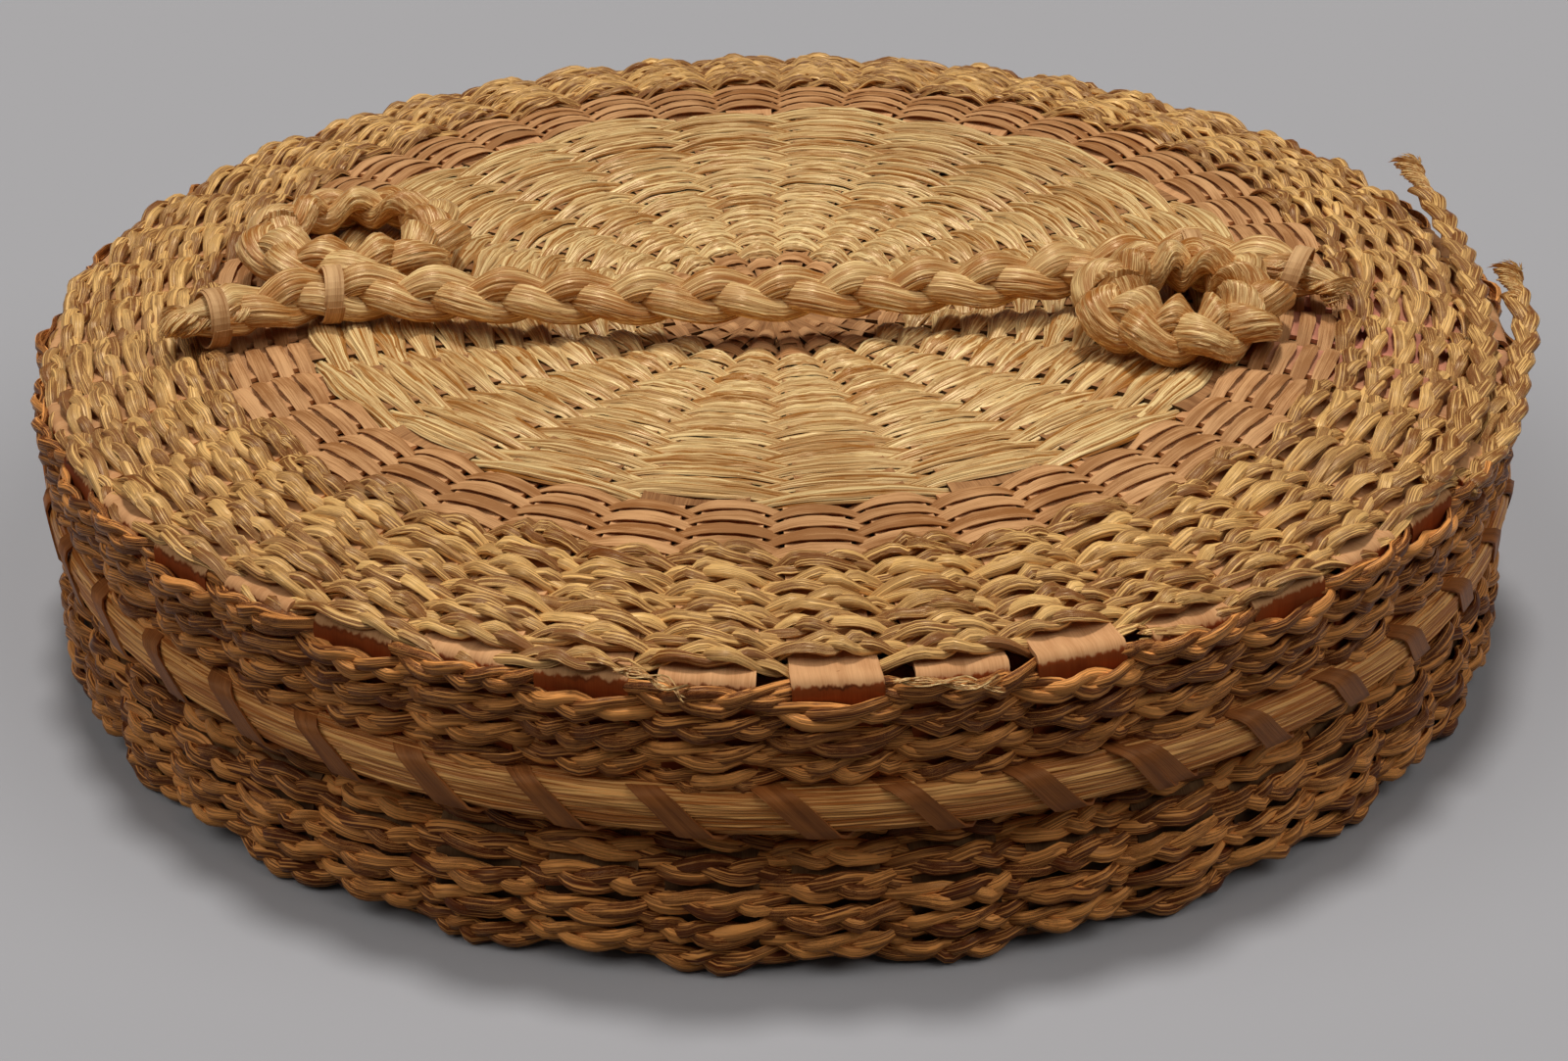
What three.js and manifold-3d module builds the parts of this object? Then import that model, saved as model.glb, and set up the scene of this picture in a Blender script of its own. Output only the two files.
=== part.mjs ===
// Round covered sewing basket of ash splint and sweetgrass braid, in millimetres.
// The origin is the middle of the underside, +Z is up and +Y points away from the viewer.

import * as THREE from 'three';
import { mergeVertices } from 'three/addons/utils/BufferGeometryUtils.js';
import Module from 'manifold-3d';

const wasm = await Module();
wasm.setup();

// Clearances
const SEAT = 0.3; // between pieces that bear on each other
const ROW_GAP = 0.4; // between neighbouring rows of weaving
const STAKE_GRIP = 0.1; // of the room between stakes in which a row lies straight past each stake
const LID_FIT = 1.0; // between the base's rim and the lid's mouth
const SHOULDER_DROP = 1.0; // the base's neck starts this far below the lid's lower edge

// Stock thicknesses
const SPLINT = 0.9; // ash standards
const SPLINT_THINNING = 0.1; // the standards are scraped this much thinner towards the hub
const WEAVER = 1.2; // thin ash weavers
const GRASS = 1.8; // loose sweetgrass bundles
const BRAID = 2.4; // plaited sweetgrass

// Standards: splints crossed at the hub, each arm split into two fingers further out
const ARM_COUNT = 22;
const ARM_SHARE = 0.62; // of the room round the circle that the arms take up
const FINGER_SHARE = 0.66;
const CROSSING_RADIUS = 13; // solid disc where the splints lie crossed
const SPLIT_RADIUS = 98;
const SPLIT_OVERLAP = 0.6; // how far arm and fingers run into each other

// Lid
const EDGE_HEIGHT = 58.2; // middle of the standards at the edge of the lid's top
const EDGE_RADIUS = 143.9; // where the lid's top meets its rounded edge
const EDGE_TURN = 3.3; // width and height of the turned-down edge
const HUB_RADIUS = 26;
const HUB_RISE = 0.1; // heights above the edge: the lid is a low ring, dished in the middle
const RING_RISE = 5.0;
const BAND_WIDTH = 17; // from the ring's top to the braids
const BAND_RISE = 3.9;
const SKIRT_DROP = 23.9;
const SKIRT_TAPER = 2.3;
const SWEETGRASS_ROWS = 3;
const TOP_BRAIDS = 3;
const SIDE_BRAIDS = 2;
const EDGE_BRAID_MISSING = 62; // degrees at the front where the edge braid has broken away

// Base
const FLOOR_RADIUS = 144;
const FOOT_TURN = 3;
const BELLY_HEIGHT = 17;
const BELLY_BRAIDS = 2;

// Rims
const RIM_HEIGHT = 8;
const RIM_BUNDLE = 4; // bundle of long sweetgrass outside the lid's rim
const HOOP = 1.6; // flat ash hoops
const LASHING = 0.6;
const LASHING_WIDTH = 5;
const LASHING_SLANT = 0.5; // of the way to the next finger, across the outside of the rim
const LASHING_CROSSING = 0.05; // the same, across the rim's free edge

// Handle, a thick braid with a loop at each end
const HANDLE_WIDTH = 12.5;
const HANDLE_HEIGHT = 9;
const HANDLE_GAP = 5.5; // above the weave at the hub
const TAIL_DROP = 1.5;
const LEFT_TAIL = [-119, -34];
const LEFT_OUTER_TIE = [-111, -28.5];
const LEFT_INNER_TIE = [-90, -17];
const HANDLE_LEFT = [-50, -17.5];
const HANDLE_MIDDLE = [-4, -16];
const HANDLE_RIGHT = [42, -10];
const RIGHT_INNER_TIE = [83, -5];
const RIGHT_OUTER_TIE = [104, -14];
const RIGHT_TAIL = [113, -20.5];
const LOOP_WIDTH = 11;
const LOOP_HEIGHT = 8.5;
const LEFT_LOOP_CENTRE = [-88, 8];
const LEFT_LOOP_REACH = [17.5, 20];
const RIGHT_LOOP_CENTRE = [80, -31];
const RIGHT_LOOP_REACH = [13.5, 16.5];
const TIE = 0.9;
const TIE_WIDTH = 7;

// Fineness
const HOOP_SIDES = 44;
const TUBE_SIDES = 12;
const HANDLE_STEPS = 24;
const LOOP_STEPS = 16;
const SEARCH_STEPS = 1000; // along the handle, to find the place of a tie

// Colours
const ASH = { color: 0x9a7458, roughness: 0.75, metalness: 0 };
const ASH_WEAVER = { color: 0x8a6650, roughness: 0.75, metalness: 0 };
const SWEETGRASS = { color: 0xa08248, roughness: 0.7, metalness: 0 };
const DARK_BRAID = { color: 0x7a5a34, roughness: 0.75, metalness: 0 };
const PALE_BRAID = { color: 0xa58a58, roughness: 0.7, metalness: 0 };

// How far a layer of a thickness stands off the middle of the standards it lies on
const standOff = (thickness) => SPLINT / 2 + SEAT + thickness;
// How far the flat sides of a hoop fall inside its corners
const HOOP_SAG = EDGE_RADIUS * (1 - Math.cos(Math.PI / HOOP_SIDES));
const RIM_INSIDE = standOff(HOOP) + HOOP_SAG + SEAT + LASHING;

const arms = { count: ARM_COUNT, share: ARM_SHARE, turn: 0, thickness: SPLINT - SPLINT_THINNING };
const fingers = { count: 2 * ARM_COUNT, share: FINGER_SHARE, turn: 0.5, thickness: SPLINT };
const pitchOf = (stakes) => (2 * Math.PI) / stakes.count;
const angleOf = (stakes, index) => (index + stakes.turn) * pitchOf(stakes);

// One straight stretch of a profile in the plane of radius and height.
// "at" takes a distance along it and a distance off it, towards the outside of the basket.
function stretch(start, end, outwardSide) {
  const along = end.clone().sub(start);
  const length = along.length();
  along.divideScalar(length);
  const outward = new THREE.Vector2(-along.y, along.x).multiplyScalar(outwardSide);
  const at = (distance, off) => start.clone().addScaledVector(along, distance).addScaledVector(outward, off);
  const atRadius = (radius) => (radius - start.x) / along.x;
  return { start, end, along, outward, length, at, atRadius };
}

function stretches(points, outwardSide) {
  return points.slice(1).map((end, index) => stretch(points[index], end, outwardSide));
}

// Room that a layer needs before a bend in the profile
function bendRoom(before, after, thickness) {
  const bend = Math.acos(THREE.MathUtils.clamp(before.along.dot(after.along), -1, 1));
  return standOff(thickness) * Math.tan(bend / 2) + ROW_GAP / 2;
}

function shareOut(from, to, count) {
  const size = (to - from - (count - 1) * ROW_GAP) / count;
  return Array.from({ length: count }, (_, index) => {
    const start = from + index * (size + ROW_GAP);
    return [start, start + size];
  });
}

// A point of the plane of radius and height, turned round the basket's axis
function spin(point, angle) {
  return new THREE.Vector3(point.x * Math.cos(angle), point.x * Math.sin(angle), point.y);
}

// Closed body through a run of sections with the same number of corners
function loft(sections, ring = false) {
  const corners = sections[0].length;
  const positions = sections.flat().flatMap((corner) => corner.toArray());
  const index = [];
  const spans = ring ? sections.length : sections.length - 1;
  for (let span = 0; span < spans; span += 1) {
    const here = span * corners;
    const next = ((span + 1) % sections.length) * corners;
    for (let corner = 0; corner < corners; corner += 1) {
      const beside = (corner + 1) % corners;
      index.push(here + corner, next + corner, next + beside);
      index.push(here + corner, next + beside, here + beside);
    }
  }
  if (!ring) {
    const last = (sections.length - 1) * corners;
    for (let corner = 1; corner < corners - 1; corner += 1) {
      index.push(0, corner, corner + 1);
      index.push(last, last + corner + 1, last + corner);
    }
  }
  return facingOut(positions, index);
}

function facingOut(positions, index) {
  const corner = (number) => new THREE.Vector3().fromArray(positions, 3 * number);
  let volume = 0;
  for (let first = 0; first < index.length; first += 3) {
    const [a, b, c] = [corner(index[first]), corner(index[first + 1]), corner(index[first + 2])];
    volume += a.dot(b.cross(c));
  }
  const geometry = new THREE.BufferGeometry();
  geometry.setAttribute('position', new THREE.Float32BufferAttribute(positions, 3));
  geometry.setIndex(volume < 0 ? index.toReversed() : index);
  return geometry;
}

// Joins and cuts
function toSolid(geometry) {
  const vertProperties = new Float32Array(geometry.attributes.position.array);
  const triVerts = new Uint32Array(geometry.index.array);
  return new wasm.Manifold(new wasm.Mesh({ numProp: 3, vertProperties, triVerts }));
}

function toGeometry(solid) {
  const { vertProperties, triVerts } = solid.getMesh();
  const geometry = new THREE.BufferGeometry();
  geometry.setAttribute('position', new THREE.BufferAttribute(vertProperties, 3));
  geometry.setIndex(new THREE.BufferAttribute(triVerts, 1));
  return geometry;
}

function join(geometries) {
  return toGeometry(geometries.map(toSolid).reduce((whole, solid) => whole.add(solid)));
}

function cut(geometry, tools) {
  return toGeometry(tools.map(toSolid).reduce((whole, tool) => whole.subtract(tool), toSolid(geometry)));
}

// Four corners of a layer on a stretch, between two distances along it and two off it
function layerSection(line, [from, to], [low, high], angle) {
  const corners = [line.at(from, low), line.at(to, low), line.at(to, high), line.at(from, high)];
  return corners.map((corner) => spin(corner, angle));
}

// A row that goes over one stake and under the next, all the way round
function wovenRow(line, room, thickness, stakes, firstOver) {
  const middle = standOff(thickness) - thickness / 2;
  const pitch = pitchOf(stakes);
  const reach = pitch * (stakes.share / 2 + STAKE_GRIP * (1 - stakes.share));
  const sections = [];
  for (let index = 0; index < stakes.count; index += 1) {
    const over = (index + (firstOver ? 0 : 1)) % 2 === 0;
    const off = over ? middle : -middle;
    const layer = [off - thickness / 2, off + thickness / 2];
    for (const side of [-1, 1]) {
      sections.push(layerSection(line, room, layer, angleOf(stakes, index) + side * reach));
    }
  }
  return loft(sections, true);
}

// A hoop or bundle that lies on one side of the stakes; part of a turn leaves it open
function hoop(line, room, layer, startAngle = 0, turn = 2 * Math.PI) {
  const whole = turn >= 2 * Math.PI;
  const steps = Math.round((HOOP_SIDES * turn) / (2 * Math.PI));
  const count = whole ? steps : steps + 1;
  const sections = Array.from({ length: count }, (_, step) =>
    layerSection(line, room, layer, startAngle + (step * turn) / steps),
  );
  return loft(sections, whole);
}

// Ribbon wound round and round a rim as one unbroken helix.
// It crosses between the fingers where the rim starts and past their ends where it stops.
function lashing(line, [from, to], [low, high], wraps) {
  const pitch = (2 * Math.PI) / wraps;
  const slant = LASHING_SLANT * pitchOf(fingers);
  const crossing = LASHING_CROSSING * pitchOf(fingers);
  const halfWidth = LASHING_WIDTH / 2 / line.at(from, 0).x;
  const firstGap = angleOf(fingers, 0) + pitchOf(fingers) / 2;
  const inside = low - HOOP_SAG - SEAT;
  const outside = high + SEAT;
  const turns = [
    { round: 0, distance: from - SEAT, off: outside, grow: [-1, 1] },
    { round: slant, distance: to + SEAT, off: outside, grow: [1, 1] },
    { round: slant + crossing, distance: to + SEAT, off: inside, grow: [1, -1] },
    { round: pitch, distance: from - SEAT, off: inside, grow: [-1, -1] },
  ];
  const sections = [];
  for (let wrap = 0; wrap < wraps; wrap += 1) {
    for (const { round, distance, off, grow } of turns) {
      const angle = firstGap + wrap * pitch + round;
      const near = line.at(distance, off);
      const far = line.at(distance + grow[0] * LASHING, off + grow[1] * LASHING);
      sections.push([
        spin(near, angle - halfWidth),
        spin(near, angle + halfWidth),
        spin(far, angle + halfWidth),
        spin(far, angle - halfWidth),
      ]);
    }
  }
  return loft(sections, true);
}

// One arm or finger of the standards, bent along a profile
function splint(points, stakes, index) {
  const half = stakes.thickness / 2;
  const lines = stretches(points, 1);
  const reach = (pitchOf(stakes) * stakes.share) / 2;
  const angle = angleOf(stakes, index);
  const sections = points.map((point, number) => {
    const before = lines[Math.max(number - 1, 0)].outward;
    const after = lines[Math.min(number, lines.length - 1)].outward;
    const off = before.clone().add(after).normalize();
    off.multiplyScalar(half / off.dot(before));
    const [low, high] = [point.clone().sub(off), point.clone().add(off)];
    return [
      spin(low, angle - reach),
      spin(low, angle + reach),
      spin(high, angle + reach),
      spin(high, angle - reach),
    ];
  });
  return loft(sections);
}

// All the standards of the base or the lid: the crossing, the arms and the split fingers.
// "split" is the number of the profile's stretch on which the arms end.
function standards(lines, split) {
  const hubHeight = lines[0].start.y;
  const crossing = new THREE.CylinderGeometry(CROSSING_RADIUS, CROSSING_RADIUS, SPLINT, 2 * ARM_COUNT);
  crossing.rotateX(Math.PI / 2).translate(0, 0, hubHeight);
  crossing.deleteAttribute('normal');
  crossing.deleteAttribute('uv');
  const onSplit = (radius) => lines[split].at(lines[split].atRadius(radius), 0);
  const inner = new THREE.Vector2(CROSSING_RADIUS - SPLIT_OVERLAP, hubHeight);
  const bends = lines.slice(0, split).map((line) => line.end);
  const armPath = [inner, ...bends, onSplit(SPLIT_RADIUS + SPLIT_OVERLAP)];
  const fingerPath = [onSplit(SPLIT_RADIUS), ...lines.slice(split).map((line) => line.end)];
  const pieces = [mergeVertices(crossing)];
  for (let index = 0; index < arms.count; index += 1) pieces.push(splint(armPath, arms, index));
  for (let index = 0; index < fingers.count; index += 1) pieces.push(splint(fingerPath, fingers, index));
  return join(pieces);
}

// Oval tube along a curve, lying flat
function tubeSection(curve, share, width, height, grow = 0, shift = 0) {
  const centre = curve.getPointAt(share);
  const ahead = curve.getTangentAt(share);
  const across = new THREE.Vector3(ahead.y, -ahead.x, 0).normalize();
  const up = new THREE.Vector3().crossVectors(across, ahead);
  centre.addScaledVector(ahead, shift);
  return Array.from({ length: TUBE_SIDES }, (_, side) => {
    const angle = (2 * Math.PI * side) / TUBE_SIDES;
    return centre
      .clone()
      .addScaledVector(across, (width / 2 + grow) * Math.cos(angle))
      .addScaledVector(up, (height / 2 + grow) * Math.sin(angle));
  });
}

function tube(curve, steps, width, height, grow = 0) {
  const count = curve.closed ? steps : steps + 1;
  const sections = Array.from({ length: count }, (_, step) =>
    tubeSection(curve, step / steps, width, height, grow),
  );
  return loft(sections, curve.closed);
}

// Profiles
const lidLines = stretches(
  [
    new THREE.Vector2(0, EDGE_HEIGHT + HUB_RISE),
    new THREE.Vector2(HUB_RADIUS, EDGE_HEIGHT + HUB_RISE),
    new THREE.Vector2(SPLIT_RADIUS, EDGE_HEIGHT + RING_RISE),
    new THREE.Vector2(SPLIT_RADIUS + BAND_WIDTH, EDGE_HEIGHT + BAND_RISE),
    new THREE.Vector2(EDGE_RADIUS, EDGE_HEIGHT),
    new THREE.Vector2(EDGE_RADIUS + EDGE_TURN, EDGE_HEIGHT - EDGE_TURN),
    new THREE.Vector2(EDGE_RADIUS + EDGE_TURN - SKIRT_TAPER, EDGE_HEIGHT - EDGE_TURN - SKIRT_DROP),
  ],
  1,
);
const [lidHub, lidFan, lidBand, lidTop, lidEdge, lidSkirt] = lidLines;

const lidMouth = lidSkirt.at(lidSkirt.length + SEAT + LASHING, -RIM_INSIDE);
const neckRadius = lidMouth.x - LID_FIT - RIM_INSIDE;
const neckHeight = lidSkirt.end.y - SEAT - LASHING - SHOULDER_DROP;
const lidUnderside = lidTop.at(lidTop.atRadius(neckRadius + RIM_INSIDE), -standOff(BRAID)).y;
const baseRimTop = lidUnderside - SEAT - LASHING - SEAT;
const floorHeight = standOff(WEAVER);
const bellyRadius = FLOOR_RADIUS + FOOT_TURN;

const baseLines = stretches(
  [
    new THREE.Vector2(0, floorHeight),
    new THREE.Vector2(SPLIT_RADIUS, floorHeight),
    new THREE.Vector2(FLOOR_RADIUS, floorHeight),
    new THREE.Vector2(bellyRadius, floorHeight + FOOT_TURN),
    new THREE.Vector2(bellyRadius, BELLY_HEIGHT),
    new THREE.Vector2(neckRadius, neckHeight),
    new THREE.Vector2(neckRadius, baseRimTop),
  ],
  -1,
);
const [floorInner, floorOuter, foot, belly, shoulder, neck] = baseLines;

// Scene graph
const basket = new THREE.Group();
const base = new THREE.Group();
const lid = new THREE.Group();
basket.add(base, lid);

function addPiece(group, name, geometry, finish) {
  const mesh = new THREE.Mesh(geometry, new THREE.MeshStandardMaterial(finish));
  mesh.name = name;
  group.add(mesh);
}

function addRows(group, name, line, rooms, thickness, stakes, finish) {
  rooms.forEach((room, index) => {
    const label = rooms.length > 1 ? `${name}_${index + 1}` : name;
    addPiece(group, label, wovenRow(line, room, thickness, stakes, index % 2 === 0), finish);
  });
}

// Base
addPiece(base, 'base_standards', standards(baseLines, 1), ASH);

const floorInnerRoom = [[CROSSING_RADIUS + ROW_GAP, SPLIT_RADIUS - ROW_GAP]];
addRows(base, 'floor_weave_inner', floorInner, floorInnerRoom, WEAVER, arms, ASH_WEAVER);
const floorOuterRoom = [[SPLIT_OVERLAP + ROW_GAP, floorOuter.length - bendRoom(floorOuter, foot, WEAVER)]];
addRows(base, 'floor_weave_outer', floorOuter, floorOuterRoom, WEAVER, fingers, ASH_WEAVER);

const footLayer = [standOff(0), standOff(BRAID)];
addPiece(base, 'foot_braid', hoop(foot, [2 * ROW_GAP, foot.length - ROW_GAP], footLayer), DARK_BRAID);

const bellyRooms = shareOut(
  bendRoom(foot, belly, BRAID),
  belly.length - bendRoom(belly, shoulder, BRAID),
  BELLY_BRAIDS,
);
addRows(base, 'belly_braid', belly, bellyRooms, BRAID, fingers, DARK_BRAID);
const shoulderRoom = [
  [bendRoom(belly, shoulder, BRAID), shoulder.length - bendRoom(shoulder, neck, BRAID)],
];
addRows(base, 'shoulder_braid', shoulder, shoulderRoom, BRAID, fingers, DARK_BRAID);
const baseRim = [neck.length - RIM_HEIGHT, neck.length];
const neckRoom = [[bendRoom(shoulder, neck, BRAID), baseRim[0] - SEAT - LASHING - ROW_GAP]];
addRows(base, 'neck_braid', neck, neckRoom, BRAID, fingers, DARK_BRAID);

const outerHoopLayer = [standOff(0), standOff(HOOP)];
const innerHoopLayer = [-standOff(HOOP), -standOff(0)];
addPiece(base, 'base_rim_outer_hoop', hoop(neck, baseRim, outerHoopLayer), ASH);
addPiece(base, 'base_rim_inner_hoop', hoop(neck, baseRim, innerHoopLayer), ASH);
const baseLashing = lashing(neck, baseRim, [-standOff(HOOP), standOff(HOOP)], ARM_COUNT);
addPiece(base, 'base_rim_lashing', baseLashing, ASH_WEAVER);

// Lid's top and side
addPiece(lid, 'lid_standards', standards(lidLines, 2), ASH);
const hubRoom = [[CROSSING_RADIUS + ROW_GAP, lidHub.length - bendRoom(lidHub, lidFan, GRASS)]];
addRows(lid, 'hub_weave', lidHub, hubRoom, WEAVER, arms, ASH_WEAVER);
const fanRooms = shareOut(bendRoom(lidHub, lidFan, GRASS), lidFan.length - ROW_GAP, SWEETGRASS_ROWS);
addRows(lid, 'sweetgrass_row', lidFan, fanRooms, GRASS, arms, SWEETGRASS);
const bandRoom = [[SPLIT_OVERLAP + ROW_GAP, lidBand.length - bendRoom(lidBand, lidTop, WEAVER)]];
addRows(lid, 'splint_band', lidBand, bandRoom, WEAVER, fingers, ASH_WEAVER);
const topRooms = shareOut(
  bendRoom(lidBand, lidTop, BRAID),
  lidTop.length - bendRoom(lidTop, lidEdge, BRAID),
  TOP_BRAIDS,
);
addRows(lid, 'lid_top_braid', lidTop, topRooms, BRAID, fingers, PALE_BRAID);

const missing = THREE.MathUtils.degToRad(EDGE_BRAID_MISSING);
const edgeLayer = [standOff(0), standOff(BRAID)];
const edgeRoom = [ROW_GAP, lidEdge.length - ROW_GAP];
const edgeStart = -Math.PI / 2 + missing / 2;
const edgeBraid = hoop(lidEdge, edgeRoom, edgeLayer, edgeStart, 2 * Math.PI - missing);
addPiece(lid, 'lid_edge_braid', edgeBraid, PALE_BRAID);

const lidRim = [lidSkirt.length - RIM_HEIGHT, lidSkirt.length];
const sideRooms = shareOut(
  bendRoom(lidEdge, lidSkirt, BRAID),
  lidRim[0] - SEAT - LASHING - ROW_GAP,
  SIDE_BRAIDS,
);
addRows(lid, 'lid_side_braid', lidSkirt, sideRooms, BRAID, fingers, DARK_BRAID);
addPiece(lid, 'lid_rim_bundle', hoop(lidSkirt, lidRim, [standOff(0), standOff(RIM_BUNDLE)]), SWEETGRASS);
addPiece(lid, 'lid_rim_inner_hoop', hoop(lidSkirt, lidRim, innerHoopLayer), ASH);
const lidLashing = lashing(lidSkirt, lidRim, [-standOff(HOOP), standOff(RIM_BUNDLE)], 2 * ARM_COUNT);
addPiece(lid, 'lid_rim_lashing', lidLashing, ASH_WEAVER);

// Handle, its ties and its loops, lying on the highest part of the lid
const lidCrown = Math.max(lidFan.end.y + standOff(GRASS), lidBand.end.y + standOff(BRAID));
const handleEndHeight = lidCrown + SEAT + TIE + SEAT + HANDLE_HEIGHT / 2;
const handleMiddleHeight = lidHub.end.y + standOff(GRASS) + HANDLE_GAP + HANDLE_HEIGHT / 2;
const handleStops = [
  [LEFT_TAIL, handleEndHeight - TAIL_DROP],
  [LEFT_OUTER_TIE, handleEndHeight],
  [LEFT_INNER_TIE, handleEndHeight],
  [HANDLE_LEFT, (handleEndHeight + handleMiddleHeight) / 2],
  [HANDLE_MIDDLE, handleMiddleHeight],
  [HANDLE_RIGHT, (handleEndHeight + handleMiddleHeight) / 2],
  [RIGHT_INNER_TIE, handleEndHeight],
  [RIGHT_OUTER_TIE, handleEndHeight],
  [RIGHT_TAIL, handleEndHeight - TAIL_DROP],
];
const handleCurve = new THREE.CatmullRomCurve3(
  handleStops.map(([plan, height]) => new THREE.Vector3(plan[0], plan[1], height)),
);
addPiece(lid, 'handle_braid', tube(handleCurve, HANDLE_STEPS, HANDLE_WIDTH, HANDLE_HEIGHT), SWEETGRASS);

// Share of the handle's length at which it passes nearest to a place in plan
function shareNear(plan) {
  const shares = Array.from({ length: SEARCH_STEPS + 1 }, (_, step) => step / SEARCH_STEPS);
  const distance = (share) => {
    const point = handleCurve.getPointAt(share);
    return Math.hypot(point.x - plan[0], point.y - plan[1]);
  };
  return shares.reduce((best, share) => (distance(share) < distance(best) ? share : best));
}

// Short sleeve round the handle, as thick as the handle grown on every side
function sleeve(plan, grow, width) {
  const share = shareNear(plan);
  const ends = [-width / 2, width / 2];
  const end = (shift) => tubeSection(handleCurve, share, HANDLE_WIDTH, HANDLE_HEIGHT, grow, shift);
  return loft(ends.map(end));
}

const handleBore = tube(handleCurve, HANDLE_STEPS, HANDLE_WIDTH, HANDLE_HEIGHT, SEAT);
const tiePlaces = {
  left_inner_tie: LEFT_INNER_TIE,
  left_outer_tie: LEFT_OUTER_TIE,
  right_inner_tie: RIGHT_INNER_TIE,
  right_outer_tie: RIGHT_OUTER_TIE,
};
for (const [name, plan] of Object.entries(tiePlaces)) {
  addPiece(lid, name, cut(sleeve(plan, SEAT + TIE, TIE_WIDTH), [handleBore]), ASH_WEAVER);
}

// Loops lie flat on the lid and butt against the handle and its ties
const loopHeight = lidCrown + SEAT + LOOP_HEIGHT / 2;
const tieRoom = (plan) => sleeve(plan, SEAT + TIE + SEAT, TIE_WIDTH + 2 * SEAT);
const handleRoom = [handleBore, ...Object.values(tiePlaces).map(tieRoom)];

function loop(centre, reach) {
  const stops = Array.from({ length: LOOP_STEPS }, (_, step) => {
    const angle = (2 * Math.PI * step) / LOOP_STEPS;
    const [x, y] = [centre[0] + reach[0] * Math.cos(angle), centre[1] + reach[1] * Math.sin(angle)];
    return new THREE.Vector3(x, y, loopHeight);
  });
  const curve = new THREE.CatmullRomCurve3(stops, true);
  return cut(tube(curve, LOOP_STEPS, LOOP_WIDTH, LOOP_HEIGHT), handleRoom);
}

addPiece(lid, 'left_loop', loop(LEFT_LOOP_CENTRE, LEFT_LOOP_REACH), SWEETGRASS);
addPiece(lid, 'right_loop', loop(RIGHT_LOOP_CENTRE, RIGHT_LOOP_REACH), SWEETGRASS);

export default basket;
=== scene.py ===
"""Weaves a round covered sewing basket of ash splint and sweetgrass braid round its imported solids."""

import math
import random

import bpy
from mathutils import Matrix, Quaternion, Vector


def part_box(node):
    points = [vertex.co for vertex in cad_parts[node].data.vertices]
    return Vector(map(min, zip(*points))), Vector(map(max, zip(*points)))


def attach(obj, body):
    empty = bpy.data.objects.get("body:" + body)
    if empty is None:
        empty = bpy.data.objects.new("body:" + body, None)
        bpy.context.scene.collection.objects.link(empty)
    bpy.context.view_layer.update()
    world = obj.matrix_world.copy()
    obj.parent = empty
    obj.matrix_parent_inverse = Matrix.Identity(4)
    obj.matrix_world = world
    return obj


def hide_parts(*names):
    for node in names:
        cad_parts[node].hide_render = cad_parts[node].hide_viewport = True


bl_info = {
    "name": "Covered Sewing Basket",
    "version": (1, 0, 0),
    "blender": (4, 5, 0),
    "location": "3D View > Sidebar > Basket",
    "description": "Weaves a covered basket of ash splint and sweetgrass braid round its packed solids",
    "category": "Add Mesh",
}

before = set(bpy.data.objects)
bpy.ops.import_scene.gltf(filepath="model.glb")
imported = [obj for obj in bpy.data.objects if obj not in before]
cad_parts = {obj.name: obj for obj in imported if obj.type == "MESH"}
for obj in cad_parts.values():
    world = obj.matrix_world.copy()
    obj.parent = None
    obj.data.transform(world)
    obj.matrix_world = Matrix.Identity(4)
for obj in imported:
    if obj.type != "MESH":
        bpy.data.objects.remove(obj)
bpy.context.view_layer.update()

MM = 0.001
STRAND_FIELDS = (
    "ring_radius", "ring_height", "ring_lean", "over_phase", "across", "off", "strand_phase", "row", "chance",
)
SPENT_FIELDS = {"number", *STRAND_FIELDS} - {"chance"}
ARMS = 22
FINGERS = 2 * ARMS
FRONT = -math.pi / 2
BACK = math.pi / 2


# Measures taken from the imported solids


def reach_of(node):
    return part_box(node)[1].x


def top_of(node):
    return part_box(node)[1].z


def foot_of(node):
    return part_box(node)[0].z


def middle_of(node):
    return (foot_of(node) + top_of(node)) / 2


SPLINT = 0.9 * MM
BRAID_STAND_OFF = 3.15 * MM
GRASS_STAND_OFF = 2.55 * MM
WEAVER_STAND_OFF = 1.95 * MM
CROWN = 1.3 * MM

# Lines that the weave follows from the middle outward, as radius and height
MIDDLE = 0.4 * MM
HUB = (reach_of("hub_weave"), middle_of("hub_weave"))
RING = (reach_of("sweetgrass_row_3"), top_of("sweetgrass_row_3") - GRASS_STAND_OFF + CROWN)
BAND = (reach_of("splint_band"), foot_of("splint_band") + WEAVER_STAND_OFF + CROWN)
EDGE = (reach_of("lid_top_braid_3") + 0.9 * MM, foot_of("lid_top_braid_3") + BRAID_STAND_OFF)
CORNER = (reach_of("lid_standards") - SPLINT / 2, top_of("lid_side_braid_1") + 1.4 * MM)
SKIRT_FOOT = (reach_of("lid_rim_bundle") - 5.5 * MM, foot_of("lid_standards"))
LID_PROFILE = [
    (MIDDLE, HUB[1]),
    HUB,
    RING,
    BAND,
    EDGE,
    (CORNER[0] - 0.7 * MM, EDGE[1] + 0.3 * MM),
    (CORNER[0] + 0.3 * MM, EDGE[1] - 0.8 * MM),
    (CORNER[0] + 0.3 * MM, CORNER[1]),
    SKIRT_FOOT,
]
FLOOR_HEIGHT = middle_of("floor_weave_outer")
FLOOR_EDGE = (reach_of("floor_weave_outer") + 0.8 * MM, FLOOR_HEIGHT)
BELLY = reach_of("belly_braid_1") - BRAID_STAND_OFF
NECK = reach_of("base_rim_outer_hoop") - 2.35 * MM
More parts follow.
